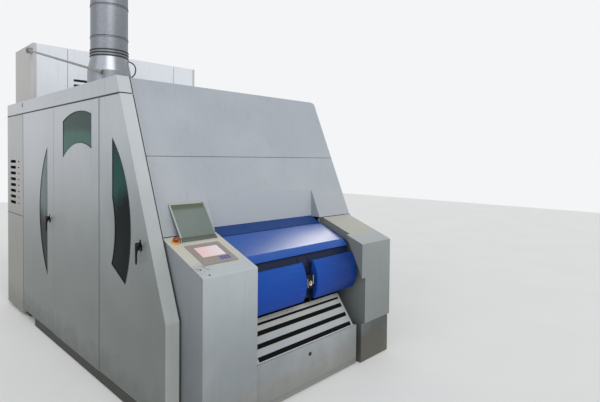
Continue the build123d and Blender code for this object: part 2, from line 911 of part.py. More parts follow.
def sheet_line(points, thickness):
    """Bent sheet in the side view: the line is its outer face and the sheet lies on its right hand."""
    back = []
    for index, point in enumerate(points):
        before = points[max(index - 1, 0)]
        after = points[min(index + 1, len(points) - 1)]
        turn_in = atan2(point[1] - before[1], point[0] - before[0]) if index else None
        turn_out = atan2(after[1] - point[1], after[0] - point[0]) if index < len(points) - 1 else None
        heading_in = turn_in if turn_in is not None else turn_out
        heading_out = turn_out if turn_out is not None else turn_in
        middle = (heading_in + heading_out) / 2
        reach = thickness / cos((heading_out - heading_in) / 2)
        back.append((point[0] + reach * sin(middle), point[1] - reach * cos(middle)))
    return points + back[::-1]


def web_region(margin):
    """Side view of a web cover; a margin above zero gives its hollow, open at the back."""
    face = ThreePointArc(
        (web_top_y + margin, web_top_height - margin),
        (web_bulge_y + margin, web_bulge_height),
        (web_foot_y + margin, web_foot_height + margin),
    )
    back_y = web_foot_y + web_depth + (5 if margin else 0)
    low = Line((web_foot_y + margin, web_foot_height + margin), (back_y, web_foot_height + margin))
    rise = Line((back_y, web_foot_height + margin), (back_y, web_top_height - margin))
    high = Line((back_y, web_top_height - margin), (web_top_y + margin, web_top_height - margin))
    return Plane.YZ * make_face(face + low + rise + high)


web_pin_y = web_foot_y + web_pin_inset
web_pin_height = web_foot_height + web_pin_inset


def web_cover(x_from, x_to):
    width = x_to - x_from
    shell = Pos(x_from, 0, 0) * extrude(web_region(0), amount=width, dir=(1, 0, 0))
    inner = extrude(web_region(cover_sheet), amount=width - 2 * cover_sheet, dir=(1, 0, 0))
    shell -= Pos(x_from + cover_sheet, 0, 0) * inner
    return shell - rod_x(pivot_radius + pin_play, x_from - 1, x_to + 1, web_pin_y, web_pin_height)


left_web_cover = web_cover(cover_left, slot_left)
right_web_cover = web_cover(slot_right, cover_right)

lid_line = [(lip_y, lip_height), (lid_front_y, lid_front_height), (lid_back_y, lid_back_height)]
lid_cheek_line = sheet_line(lid_line, lid_return)
lid_slope = atan2(lid_back_height - lid_front_height, lid_back_y - lid_front_y)
lid_pin_y = lid_back_y - lid_pin_back * cos(lid_slope) + lid_pin_depth * sin(lid_slope)
lid_pin_height = lid_back_height - lid_pin_back * sin(lid_slope) - lid_pin_depth * cos(lid_slope)
lid_sheet = slab(sheet_line(lid_line, cover_sheet), cover_left, cover_right)
lid_cheeks = slab(lid_cheek_line, cover_left, cover_left + cover_sheet)
lid_cheeks += slab(lid_cheek_line, cover_right - cover_sheet, cover_right)
blue_lid = lid_sheet + lid_cheeks
blue_lid -= rod_x(pivot_radius + pin_play, cover_left - 1, cover_right + 1, lid_pin_y, lid_pin_height)

housing_left = cover_left + cover_sheet + 1
housing_right = cover_right - cover_sheet - 1
strip_front = lid_back_y + strip_gap
strip_front_height = lid_back_height + strip_gap * tan(lid_slope)
strip_back = recess_y - seat_gap - cover_sheet / 2
strip_line = [(strip_front, strip_front_height), (strip_back, strip_back_height)]
strip = slab(sheet_line(strip_line, cover_sheet), cover_left, cover_right)
apron_y = web_foot_y + web_depth + apron_clearance
apron_top = (lip_y + 20, lip_height - 4)
apron_shoulder = (apron_y + 5, web_top_height - 40)
apron_foot = (apron_y, web_foot_height + 8)
apron_line = [apron_top, apron_shoulder, (apron_y, web_bulge_height), apron_foot]
sheet_left = housing_left + cheek / 2
sheet_right = housing_right - cheek / 2
apron_edge = apron_line[:-1] + [(apron_foot[0], apron_foot[1] - apron_lap)]
apron = slab(apron_edge + [(y + cover_sheet, z) for y, z in apron_edge[::-1]], sheet_left, sheet_right)
tray = slab(
    [
        apron_foot,
        (apron_foot[0], apron_foot[1] - cover_sheet),
        (tray_back - cover_sheet, tray_height),
        (tray_back - cover_sheet, tray_height + cover_sheet),
    ],
    sheet_left,
    sheet_right,
)
nose = []
for turn in (0, 30, 60, 90):
    nose.append((lid_pin_y + pin_nose * cos(radians(turn)), lid_pin_height + pin_nose * sin(radians(turn))))
housing_side = [
    (strip_back - 2, strip_back_height - 4),
    (strip_front + 1, strip_front_height - 3),
    (strip_front + 1, lid_pin_height - 16),
    (lid_pin_y + pin_nose, lid_pin_height - 16),
    *nose,
    (lid_front_y + 14, lid_front_height - 22),
    apron_top,
    apron_shoulder,
    (apron_y, web_pin_height + 60),
    (web_pin_y - leg_half, web_pin_height + 50),
    (web_pin_y - leg_half, web_pin_height - leg_half),
    (web_pin_y + leg_half, web_pin_height - leg_half),
    (web_pin_y + leg_half, web_pin_height + 20),
    (apron_y, web_pin_height + 26),
    apron_foot,
    (tray_back, tray_height),
    (tray_back, housing_back_height),
    (strip_back - 2, housing_top_height),
]
web_housing = slab(housing_side, housing_left, housing_left + cheek)
web_housing += slab(housing_side, housing_right - cheek, housing_right)
web_housing += strip
web_housing += apron
web_housing += tray
slot_side = [
    apron_top,
    (apron_shoulder[0] - 6, apron_shoulder[1] + 6),
    (web_pin_y - leg_half, web_pin_height + 50),
    (web_pin_y - leg_half, web_pin_height - leg_half),
    (apron_y + cover_sheet, web_pin_height - 12),
    (apron_y + 4 * cover_sheet, web_bulge_height),
    (apron_top[0] + 2 * cover_sheet, apron_top[1] - 6),
]
web_housing += slab(slot_side, slot_left + 1, slot_left + 1 + cheek)
web_housing += slab(slot_side, slot_right - 1 - cheek, slot_right - 1)
pin_reach = cover_sheet + 1
web_housing += rod_x(pivot_radius, housing_left - pin_reach, housing_left + 1, web_pin_y, web_pin_height)
web_housing += rod_x(pivot_radius, housing_right - 1, housing_right + pin_reach, web_pin_y, web_pin_height)
web_housing += rod_x(pivot_radius, slot_left - pin_reach, slot_left + 2, web_pin_y, web_pin_height)
web_housing += rod_x(pivot_radius, slot_right - 2, slot_right + pin_reach, web_pin_y, web_pin_height)
web_housing += rod_x(pivot_radius, housing_left - pin_reach, housing_left + 1, lid_pin_y, lid_pin_height)
web_housing += rod_x(pivot_radius, housing_right - 1, housing_right + pin_reach, lid_pin_y, lid_pin_height)
trumpet_half = slot_width / 2 - cheek - 4
block_foot = tray_height + foot_block / 2
block_sides = (
    (left_console_inner + seat_gap, housing_left + 1),
    (housing_right - 1, right_console_inner - seat_gap),
)
for ends in block_sides:
    web_housing += block(*ends, tray_back - foot_block, tray_back, block_foot, block_foot + foot_block)
web_housing -= block(
    slot_centre - trumpet_half,
    slot_centre + trumpet_half,
    web_bulge_y,
    0,
    trumpet_low,
    trumpet_low + trumpet_height,
)

trumpet_block = block(
    slot_centre - trumpet_half + seat_gap,
    slot_centre + trumpet_half - seat_gap,
    web_bulge_y + trumpet_proud,
    apron_y + trumpet_tail,
    trumpet_low + seat_gap,
    trumpet_low + trumpet_height - seat_gap,
)
trumpet_front = trumpet_block.edges().filter_by(Axis.X).group_by(Axis.Y)[0]
trumpet_block = chamfer(trumpet_front, trumpet_proud)
bore_y = apron_y + trumpet_tail + 1
bore = Cone(trumpet_mouth, trumpet_bore, trumpet_height, align=(Align.CENTER, Align.CENTER, Align.MIN))
trumpet_block -= Pos(slot_centre, bore_y, trumpet_low + trumpet_height / 2) * (Rot(90, 0, 0) * bore)

# Louvre panel, lower cover, its lock and the kick strip

louvre_angle = radians(louvre_rake)


def louvre_block(x_from, x_to, along_from, along_to, low, high):
    """Block on the louvre panel's plane. Along runs up the rake from the panel's foot."""
    size = (x_to - x_from, along_to - along_from, high - low)
    centre = ((x_from + x_to) / 2, (along_from + along_to) / 2, (low + high) / 2)
    place = Pos(
        centre[0],
        louvre_foot_y + centre[1] * sin(louvre_angle) - centre[2] * cos(louvre_angle),
        louvre_foot_height + centre[1] * cos(louvre_angle) + centre[2] * sin(louvre_angle),
    )
    return place * (Rot(-louvre_rake, 0, 0) * Box(size[0], size[2], size[1]))


louvre_panel = louvre_block(louvre_left, louvre_right, 0, louvre_length, -louvre_depth, 0)
louvre_inside = (louvre_left + sheet, louvre_right - sheet)
louvre_panel -= louvre_block(*louvre_inside, sheet, louvre_length - sheet, -louvre_depth - 1, -sheet)
slot_ends = (louvre_left + louvre_stile, louvre_right - louvre_stile)
louvre_slots = [(slot_first + slot_pitch * row, slot_height) for row in range(3)]
louvre_slots.append((slot_first + top_slot_rise, top_slot_height))
for middle, height in louvre_slots:
    low = max(middle - height / 2, sheet)
    louvre_panel -= louvre_block(*slot_ends, low, middle + height / 2, -sheet - 1, 1)

lower_cover_front = louvre_foot_y - 1
lower_cover_back = lower_cover_front + lower_cover_depth
lower_cover_head = louvre_foot_height - seam_gap
cover_pin_y = lower_cover_front + lower_cover_pin_inset
cover_pin_height = lower_cover_foot + lower_cover_pin_inset
lower_cover = block(
    lower_cover_left,
    lower_cover_right,
    lower_cover_front,
    lower_cover_back,
    lower_cover_foot,
    lower_cover_head,
)
lower_cover -= block(
    lower_cover_left + sheet,
    lower_cover_right - sheet,
    lower_cover_front + sheet,
    lower_cover_back + 1,
    lower_cover_foot + sheet,
    lower_cover_head - sheet,
)
for edge in (lower_cover_left, lower_cover_right):
    hole_ends = (edge - 2 * sheet, edge + 2 * sheet)
    lower_cover -= rod_x(pivot_radius + pin_play, *hole_ends, cover_pin_y, cover_pin_height)
lock_hole = Rot(90, 0, 0) * Cylinder(lock_radius + pin_play, lower_cover_depth)
lower_cover -= Pos(lock_x, lower_cover_front, lock_height) * lock_hole

lock_back = lower_cover_back + 0.5
lock_barrel = Cylinder(lock_radius, lower_cover_depth + 2, align=(Align.CENTER, Align.CENTER, Align.MIN))
cover_lock = Pos(lock_x, lock_back, lock_height) * (Rot(90, 0, 0) * lock_barrel)
flange = Rot(90, 0, 0) * Cylinder(lock_radius + lock_flange, 3)
cover_lock += Pos(lock_x, lower_cover_front - seat_gap - 1.5, lock_height) * flange
cover_lock += block(lock_x - 6, lock_x + 6, lock_back, lock_back + 4, lock_height - 8, lower_cover_head - 1)
key_depth = (lower_cover_front - 5, lower_cover_front + 3)
cover_lock -= block(lock_x - 1.5, lock_x + 1.5, *key_depth, lock_height - 5, lock_height + 5)

kick_head = lower_cover_foot - kick_gap
kick_back = kick_front + kick_depth
kick_strip = block(kick_left, kick_right, kick_front, kick_back, kick_foot, kick_head)
kick_strip -= block(
    kick_left - 1,
    kick_right + 1,
    kick_front + sheet,
    kick_back + 1,
    kick_foot + sheet,
    kick_head - sheet,
)
for side, edge in ((-1, lower_cover_left), (1, lower_cover_right)):
    near = edge + side * cover_lug_gap
    far = near + side * cover_lug
    ends = sorted((near, far))
    pin_ends = sorted((edge - side * 4, far))
    kick_strip += block(*ends, cover_pin_y - 8, kick_back, kick_head - sheet, cover_pin_height + 8)
    kick_strip += rod_x(pivot_radius, *pin_ends, cover_pin_y, cover_pin_height)
arm_ends = (kick_head - 3 * sheet, kick_head - sheet / 2)
for x_from in (kick_left + kick_arm_inset, kick_right - kick_arm_inset - kick_arm):
    kick_strip += block(x_from, x_from + kick_arm, kick_front + 1, frame_front, *arm_ends)

# Back panel and feed tower

back_front = casing_back + seat_gap
back_head = roof_height - seat_gap
back_left = tower_left + back_inset
back_right = tower_right - back_inset
back_panel = block(back_left, back_right, back_front, tower_back, back_foot, back_head)
back_panel -= block(
    back_left + sheet,
    back_right - sheet,
    back_front - 1,
    tower_back - sheet,
    back_foot + sheet,
    back_head - sheet,
)

tower_foot = roof_height
tower_casing = block(tower_left, tower_right, tower_front, tower_back, tower_foot, tower_height)
tower_casing -= block(
    tower_left + tower_sheet,
    tower_right - tower_sheet,
    tower_front + tower_sheet,
    tower_back - tower_sheet,
    tower_foot - 1,
    tower_height - tower_sheet,
)
for seam_x in (tower_left_seam, tower_right_seam):
    seam_ends = (seam_x - groove / 2, seam_x + groove / 2)
    tower_casing -= block(
        *seam_ends, tower_front - 1, tower_front + tower_sheet / 2, tower_foot + 1, tower_height - 12
    )
tower_slot_ends = (tower_slot_left, tower_slot_left + tower_slot_width)
for row in range(tower_slot_count):
    top = tower_height - tower_slot_drop - row * tower_slot_pitch
    tower_casing -= block(
        *tower_slot_ends, tower_front - 1, tower_front + tower_sheet + 1, top - tower_slot_height, top
    )
inlet_x = (tower_left + tower_right) / 2
inlet_y = tower_back - inlet_inset
spigot = Cylinder(inlet_radius + tower_sheet, inlet_height, align=(Align.CENTER, Align.CENTER, Align.MIN))
tower_casing += Pos(inlet_x, inlet_y, tower_height - 1) * spigot
tower_casing -= Pos(inlet_x, inlet_y, tower_height - 20) * Cylinder(
    inlet_radius, 2 * inlet_height, align=(Align.CENTER, Align.CENTER, Align.MIN)
)

# Feed chute: one flat channel from the tower down to the feed roll, ending in the feed tray

frame_left = roll_centre - working_width / 2 - frame_gap
frame_right = roll_centre + working_width / 2 + frame_gap
barrel_left = roll_centre - working_width / 2
barrel_right = roll_centre + working_width / 2

licker_distance = cylinder_radius + licker_radius + wire_gap
licker_y = cylinder_y + licker_distance * cos(radians(licker_angle))
licker_height = cylinder_height + licker_distance * sin(radians(licker_angle))
feed_distance = licker_radius + feed_radius + wire_gap
feed_y = licker_y + feed_distance * cos(radians(feed_angle))
feed_height = licker_height + feed_distance * sin(radians(feed_angle))
tray_top = feed_height - feed_radius - tray_clearance
nose_reach = sqrt((licker_radius + 2 * tray_clearance) ** 2 - (tray_top - licker_height) ** 2)
tray_nose = licker_y + nose_reach + nose_clearance
chute_head = roof_height + chute_rise
chute_front = feed_y + feed_radius + chute_start
channel = [
    (chute_front, tray_top),
    (chute_front + chute_foot, tray_top),
    (tower_front + chute_knee, tray_top + chute_knee_rise),
    (tower_front + mouth_far, chute_head),
    (tower_front + mouth_near, chute_head),
    (tower_front + chute_knee_back, tray_top + chute_knee_rise + chute_knee_back),
    (chute_front, tray_top + chute_foot_rise),
]
channel_face = Plane.YZ * make_face(Polyline(*channel, close=True))
chute_left = barrel_left + chute_inset
chute_right = barrel_right - chute_inset
chute_width = chute_right - chute_left
chute_skin = offset(channel_face, amount=chute_wall, kind=Kind.INTERSECTION)
feed_chute = Pos(chute_left, 0, 0) * extrude(chute_skin, amount=chute_width, dir=(1, 0, 0))
channel_body = extrude(channel_face, amount=chute_width - 2 * chute_wall, dir=(1, 0, 0))
feed_chute -= Pos(chute_left + chute_wall, 0, 0) * channel_body
chute_inside = (chute_left + chute_wall, chute_right - chute_wall)
mouth = (tower_front + mouth_near, tower_front + mouth_far)
feed_chute -= block(*chute_inside, *mouth, roof_height, chute_head + 2 * chute_wall)
roof_cover -= block(
    chute_left - 2,
    chute_right + 2,
    mouth[0] - 4 * chute_wall,
    mouth[1] + 4 * chute_wall,
    roof_height - 2 * sheet,
    roof_height + 1,
)
feed_back = feed_y + feed_radius + feed_lip
feed_chute -= block(*chute_inside, feed_y + feed_radius, feed_back, tray_top, tray_top + slit_height)
tray_ends = (frame_left + seat_gap, frame_right - seat_gap)
feed_chute += block(*tray_ends, tray_nose, feed_back, tray_top - tray_thickness, tray_top)

# Rolls: barrels with their shafts in one piece


def roll(radius, shaft, y, z, left_reach, right_reach):
    """Roll along x: barrel over the working width, shaft out through both side frames."""
    shaft_left = frame_left - side_plate - left_reach
    shaft_right = frame_right + side_plate + right_reach
    return rod_x(radius, barrel_left, barrel_right, y, z) + rod_x(shaft, shaft_left, shaft_right, y, z)


bearing_reach = bearing_width + shaft_end
pulley_left = frame_left - side_plate - bearing_width - 12 - pulley_width
pulley_reach = frame_left - side_plate - pulley_left + shaft_end
cylinder = roll(cylinder_radius, cylinder_shaft, cylinder_y, cylinder_height, pulley_reach, bearing_reach)
cylinder += rod_x(pulley_radius, pulley_left, pulley_left + pulley_width, cylinder_y, cylinder_height)
doffer = roll(doffer_radius, doffer_shaft, doffer_y, doffer_height, bearing_reach, bearing_reach)
licker_in = roll(licker_radius, licker_shaft, licker_y, licker_height, shaft_end, shaft_end)
feed_roll = roll(feed_radius, feed_shaft, feed_y, feed_height, shaft_end, shaft_end)
stripper_distance = doffer_radius + stripper_radius + wire_gap
stripper_y = doffer_y + stripper_distance * cos(radians(stripper_angle))
stripper_height = doffer_height + stripper_distance * sin(radians(stripper_angle))
stripping_roll = roll(stripper_radius, stripper_shaft, stripper_y, stripper_height, shaft_end, shaft_end)
crush_offset = crush_radius + crush_gap / 2
crush_roll_upper = roll(crush_radius, crush_shaft, crush_y, crush_height + crush_offset, shaft_end, shaft_end)
crush_roll_lower = roll(crush_radius, crush_shaft, crush_y, crush_height - crush_offset, shaft_end, shaft_end)

# Side frames: one plate each, with the arch that carries the flats and a bore for every shaft

frame_foot = plinth_height
arch_radius = cylinder_radius + 2.5
frame_outline = [
    (380, frame_foot),
    (2700, frame_foot),
    (2700, 640),
    (2420, 900),
    (1860, 1160),
    (760, 1000),
    (170, 930),
    (170, 720),
    (380, 600),
]


def side_frame(x_from):
    plate = slab(frame_outline, x_from, x_from + side_plate)
    plate += rod_x(arch_radius, x_from, x_from + side_plate, cylinder_y, cylinder_height)
    shafts = [
        (cylinder_shaft + 2, cylinder_y, cylinder_height),
        (doffer_shaft + 2, doffer_y, doffer_height),
        (licker_shaft + pin_play, licker_y, licker_height),
        (feed_shaft + pin_play, feed_y, feed_height),
        (stripper_shaft + pin_play, stripper_y, stripper_height),
        (crush_shaft + pin_play, crush_y, crush_height + crush_offset),
        (crush_shaft + pin_play, crush_y, crush_height - crush_offset),
    ]
    for radius, y, z in shafts:
        plate -= rod_x(radius, x_from - 1, x_from + side_plate + 1, y, z)
    return plate


left_side_frame = side_frame(frame_left - side_plate)
right_side_frame = side_frame(frame_right)


def bearing(shaft, y, z, x_from):
    """Flanged bearing bolted on the outside of a side frame."""
    ring = rod_x(shaft + bearing_wall, x_from, x_from + bearing_width, y, z)
    return ring - rod_x(shaft + pin_play, x_from - 1, x_from + bearing_width + 1, y, z)


bearings = []
for shaft, y, z in ((cylinder_shaft, cylinder_y, cylinder_height), (doffer_shaft, doffer_y, doffer_height)):
    bearings.append(bearing(shaft, y, z, frame_left - side_plate - bearing_width))
    bearings.append(bearing(shaft, y, z, frame_right + side_plate))
roll_bearings = Compound(bearings)

# Flats: bars across the cylinder, lying side by side on the arches

flat_step = degrees(flat_pitch / arch_radius)
flat_length = frame_right - frame_left + 2 * side_plate
flats = []
for number in range(flat_count):
    angle = 90 + (number - (flat_count - 1) / 2) * flat_step
    tilt = Pos(0, cylinder_y, cylinder_height) * Rot(angle - 90, 0, 0)
    bar_body = Box(flat_length, flat_width, flat_thickness, align=(Align.CENTER, Align.CENTER, Align.MIN))
    flats.append(tilt * (Pos(roll_centre, 0, arch_radius + seat_gap) * bar_body))
flat_bars = Compound(flats)

# Undercasing: bent screen below the cylinder

screen_inner = cylinder_radius + screen_clearance
screen_ring = Plane.YZ * (
    Pos(cylinder_y, cylinder_height) * (Circle(screen_inner + screen_thickness) - Circle(screen_inner))
)
screen_sector = Plane.YZ * make_face(
    Polyline(
        (cylinder_y, cylinder_height),
        (cylinder_y - screen_half, cylinder_height - screen_drop),
        (cylinder_y + screen_half, cylinder_height - screen_drop),
        close=True,
    )
)
undercasing = Pos(frame_left + seat_gap, 0, 0) * extrude(
    screen_ring & screen_sector, amount=frame_right - frame_left - 2 * seat_gap, dir=(1, 0, 0)
)

# Main motor on its plate, belt round the motor's pulley and the cylinder's pulley

motor_right = pulley_left - motor_gap
motor_left = motor_right - motor_length
motor_base = plinth_height
motor_feet = motor_radius + 15
main_motor = rod_x(motor_radius, motor_left, motor_right, motor_y, motor_height)
main_motor += block(
    motor_left + 30, motor_right - 30, motor_y - motor_feet, motor_y + motor_feet, motor_base, motor_base + 16
)
main_motor += block(
    motor_left + 50, motor_right - 50, motor_y - 90, motor_y + 90, motor_base + 15, motor_height
)
main_motor -= rod_x(motor_shaft + pin_play, motor_right - motor_bore, motor_right + 1, motor_y, motor_height)
motor_pulley = rod_x(motor_pulley_radius, pulley_left, pulley_left + pulley_width, motor_y, motor_height)
motor_pulley += rod_x(motor_shaft, motor_right - motor_bore + 1, pulley_left + 1, motor_y, motor_height)


def belt_loop(extra):
    big = Pos(cylinder_y, cylinder_height) * Circle(pulley_radius + extra)
    small = Pos(motor_y, motor_height) * Circle(motor_pulley_radius + extra)
    return Plane.YZ * make_hull(big.edges() + small.edges())


belt_face = belt_loop(seat_gap + belt_thickness) - belt_loop(seat_gap)
drive_belt = Pos(pulley_left + 2, 0, 0) * extrude(belt_face, amount=pulley_width - 4, dir=(1, 0, 0))

# Suction manifold: sheet box under the roof duct, with a header across the flats

manifold_half = duct_radius + manifold_lap
header_head = manifold_foot + header_height
suction_manifold = block(
    duct_x - manifold_half,
    duct_x + manifold_half,
    duct_y - manifold_half,
    duct_y + manifold_half,
    manifold_foot,
    roof_height - sheet,
)
suction_manifold += block(
    duct_x + manifold_half - 1,
    barrel_right,
    duct_y - header_half,
    duct_y + header_half,
    manifold_foot,
    header_head,
)
suction_manifold -= block(
    duct_x - manifold_half + sheet,
    duct_x + manifold_half - sheet,
    duct_y - manifold_half + sheet,
    duct_y + manifold_half - sheet,
    manifold_foot + sheet,
    roof_height - sheet + 1,
)
suction_manifold -= block(
    duct_x + manifold_half - 2 * sheet,
    barrel_right - sheet,
    duct_y - header_half + sheet,
    duct_y + header_half - sheet,
    manifold_foot - 1,
    header_head - sheet,
)

# Roof duct: collar and cone in one piece, pipe above

cone_top = roof_height + collar_height + cone_height
pipe_rings = [(clamp_low + number * clamp_pitch, clamp_height, clamp_proud) for number in range(clamp_count)]
pipe_rings += [(height, lap_height, lap_proud) for height in (lap_low, lap_high)]
profile = make_face(
    Polyline(
        (collar_radius, 0),
        (collar_radius, collar_height),
        (duct_radius, collar_height + cone_height),
        (duct_radius - duct_wall, collar_height + cone_height),
        (collar_radius - duct_wall, collar_height),
        (collar_radius - duct_wall, 0),
        close=True,
    )
)
duct_foot = Pos(duct_x, duct_y, roof_height) * revolve(Plane.XZ * profile, Axis.Z)
pipe = Cylinder(duct_radius, pipe_length, align=(Align.CENTER, Align.CENTER, Align.MIN))
for height, ring_height, proud in pipe_rings:
    ring = Cylinder(duct_radius + proud, ring_height, align=(Align.CENTER, Align.CENTER, Align.MIN))
    pipe += Pos(0, 0, height) * ring
pipe -= Cylinder(duct_radius - duct_wall, pipe_length, align=(Align.CENTER, Align.CENTER, Align.MIN))
duct_pipe = Pos(duct_x, duct_y, cone_top) * pipe

# Stay rod from the roof to the tower, with its foot and its head bracket

stay_length = sqrt((stay_head_y - stay_foot_y) ** 2 + (stay_head_height - stay_foot_height) ** 2)
stay_tilt = degrees(atan2(stay_head_height - stay_foot_height, stay_head_y - stay_foot_y))
stay_bar = Cylinder(stay_radius, stay_length, align=(Align.CENTER, Align.CENTER, Align.MIN))
stay_rod = Pos(stay_x, stay_foot_y, stay_foot_height) * (Rot(-90 + stay_tilt, 0, 0) * stay_bar)
foot_ends = (stay_foot_y - 12, stay_foot_y + 12)
stay_rod += block(stay_x - 6, stay_x + 6, *foot_ends, roof_height, stay_foot_height + 14)
head_ends = (stay_head_y - 25, stay_head_y + 25)
stay_rod += block(stay_x - 4, tower_left, *head_ends, stay_head_height - 30, stay_head_height + 22)

# Casing frame: posts, cross bars, raked front bars, cheeks behind the louvre panel and door pivots

frame_bars = []
post_head = roof_height - sheet - bar
rear_post_y = casing_back - sheet - bar / 2
for y in (first_seam, second_seam, third_seam, rear_post_y):
    for side in (-1, 1):
        ends = sorted((side * post_x, side * (post_x - bar)))
        foot = plinth_height if y < rail_back else rear_foot
        frame_bars.append(block(*ends, y - bar / 2, y + bar / 2, foot, post_head))
    frame_bars.append(block(-post_x, post_x, y - bar / 2, y + bar / 2, post_head, roof_height - sheet))
front_bar_inset = hood_setback + hood_return + seat_gap
for x_from in (hood_left + hood_sheet, -hood_left - hood_sheet - bar):
    bar_ends = (plinth_height, eave_height - seat_gap, x_from, x_from + bar)
    frame_bars.append(front_strip(front_bar_inset, front_bar_inset + bar, *bar_ends))
louvre_head_y = louvre_foot_y + louvre_length * sin(louvre_angle)
louvre_head_height = louvre_foot_height + louvre_length * cos(louvre_angle)
behind = (louvre_depth + 1) / cos(louvre_angle)
cheek_front = louvre_foot_y + lower_cover_depth + 8
cheek_side = [
    (cheek_front, plinth_height),
    (cheek_front, louvre_foot_height + 4),
    (louvre_head_y + behind, louvre_head_height),
    (cheek_back, louvre_head_height),
    (cheek_back, plinth_height),
]
for x_from in (louvre_left + 8, louvre_right - 8 - cheek):
    frame_bars.append(slab(cheek_side, x_from, x_from + cheek))


def pivot(seam, side, at_top):
    """Pivot plate with its pin: the lower ones stand on the plinth, the upper ones hang at the eaves."""
    y = pivot_y(seam)
    ends = sorted((side * (half_width - 2), side * post_x))
    if at_top:
        plate = block(*ends, y - 10, y + 8, eave_height - pivot_plate, eave_height)
        pin_from = door_head - 3 * sheet
        pin_length = 3 * sheet + head_gap - 1
    else:
        plate = block(*ends, y - 10, y + 8, plinth_height, plinth_height + pivot_plate)
        pin_from = plinth_height + 1
        pin_length = 3 * sheet + door_lift
    pin = Cylinder(pivot_radius, pin_length, align=(Align.CENTER, Align.CENTER, Align.MIN))
    return plate + Pos(side * (half_width - pivot_inset_x), y, pin_from) * pin


for seam in (first_seam, third_seam):
    for side in (-1, 1):
        for at_top in (False, True):
            frame_bars.append(pivot(seam, side, at_top))
casing_frame = Compound(frame_bars)

# Base: channel rails under the side skins, cross members and levelling feet

rail_height = plinth_height - rail_foot
rail_section = [
    (0, 0),
    (rail_width, 0),
    (rail_width, rail_wall),
    (rail_wall, rail_wall),
    (rail_wall, rail_height - rail_wall),
    (rail_width, rail_height - rail_wall),
    (rail_width, rail_height),
    (0, rail_height),
]
rail_face = Plane.XZ * make_face(Polyline(*rail_section, close=True))
rail_body = extrude(rail_face, amount=rail_back - rail_front, dir=(0, 1, 0))
rail = Pos(-half_width, rail_front, rail_foot) * rail_body
base_bars = [rail, to_right(rail)]
cross_inner = half_width - rail_width - seat_gap
cross_ys = (
    frame_front,
    first_seam - cross_width / 2,
    second_seam - cross_width / 2,
    motor_cross_y,
    rail_back - cross_width,
)
for y in cross_ys:
    bar_foot = plinth_height - cross_height
    base_bars.append(block(-cross_inner, cross_inner, y, y + cross_width, bar_foot, plinth_height))
sill_foot = rear_foot - rear_sill
for side in (-1, 1):
    ends = sorted((side * post_x, side * (post_x - cross_width)))
    base_bars.append(block(*ends, third_seam - cross_width, rear_post_y + bar / 2, sill_foot, rear_foot))
base_rails = Compound(base_bars)

feet = []
foot_spots = []
for side in (-1, 1):
    for y in (cross_ys[0] + cross_width / 2, cross_ys[2] + cross_width / 2):
        foot_spots.append((side * (cross_inner - 60), y, plinth_height - cross_height))
    foot_spots.append((side * (post_x - bar), rear_post_y - bar, sill_foot))
for x, y, top in foot_spots:
    pad = Cylinder(foot_pad_radius, foot_pad_thickness, align=(Align.CENTER, Align.CENTER, Align.MIN))
    stud = Cylinder(foot_stud_radius, top, align=(Align.CENTER, Align.CENTER, Align.MIN))
    feet.append(Pos(x, y, 0) * (pad + stud))
levelling_feet = Compound(feet)

pieces = {
    "base_rails": base_rails,
    "levelling_feet": levelling_feet,
    "casing_frame": casing_frame,
    "left_side_frame": left_side_frame,
    "right_side_frame": right_side_frame,
    "roll_bearings": roll_bearings,
    "undercasing": undercasing,
    "flat_bars": flat_bars,
    "feed_chute": feed_chute,
    "main_motor": main_motor,
    "motor_pulley": motor_pulley,
    "drive_belt": drive_belt,
    "suction_manifold": suction_manifold,
    "roof_cover": roof_cover,
    "upper_hood": upper_hood,
    "lower_hood": lower_hood,
    "left_console": left_console,
    "right_console": right_console,
    "right_console_foot": right_console_foot,
    "touch_panel": touch_panel,
    "web_housing": web_housing,
    "trumpet_block": trumpet_block,
    "louvre_panel": louvre_panel,
    "kick_strip": kick_strip,
    "left_middle_panel": left_middle_panel,
    "right_middle_panel": right_middle_panel,
    "middle_windows": middle_windows,
    "left_rear_panel": left_rear_panel,
    "right_rear_panel": right_rear_panel,
    "back_panel": back_panel,
    "tower_casing": tower_casing,
    "duct_foot": duct_foot,
    "duct_pipe": duct_pipe,
    "stay_rod": stay_rod,
    "left_front_door": left_front_door,
    "left_front_window": left_front_window,
    "left_front_handle": left_front_handle,
    "left_rear_door": left_rear_door,
    "left_rear_window": left_rear_window,
    "left_rear_handle": left_rear_handle,
    "right_front_door": right_front_door,
    "right_front_window": right_front_window,
    "right_front_handle": right_front_handle,
    "right_rear_door": right_rear_door,
    "right_rear_window": right_rear_window,
    "right_rear_handle": right_rear_handle,
    "blue_lid": blue_lid,
    "left_web_cover": left_web_cover,
    "right_web_cover": right_web_cover,
    "lower_cover": lower_cover,
    "cover_lock": cover_lock,
    "screen_flap": screen_flap,
    "stop_button": stop_button,
    "cylinder": cylinder,
    "doffer": doffer,
    "licker_in": licker_in,
    "feed_roll": feed_roll,
    "stripping_roll": stripping_roll,
    "crush_roll_upper": crush_roll_upper,
    "crush_roll_lower": crush_roll_lower,
}

middle_y = (console_front + tower_back) / 2
os.makedirs("parts", exist_ok=True)
for name, piece in pieces.items():
    placed = Pos(0, -middle_y, 0) * piece
    placed.label = name
    export_step(placed, os.path.join("parts", name + ".step"))
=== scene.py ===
import bpy
import bmesh
import json
from math import atan2, cos, pi, radians, sin, sqrt, tan
from mathutils import Matrix, Vector


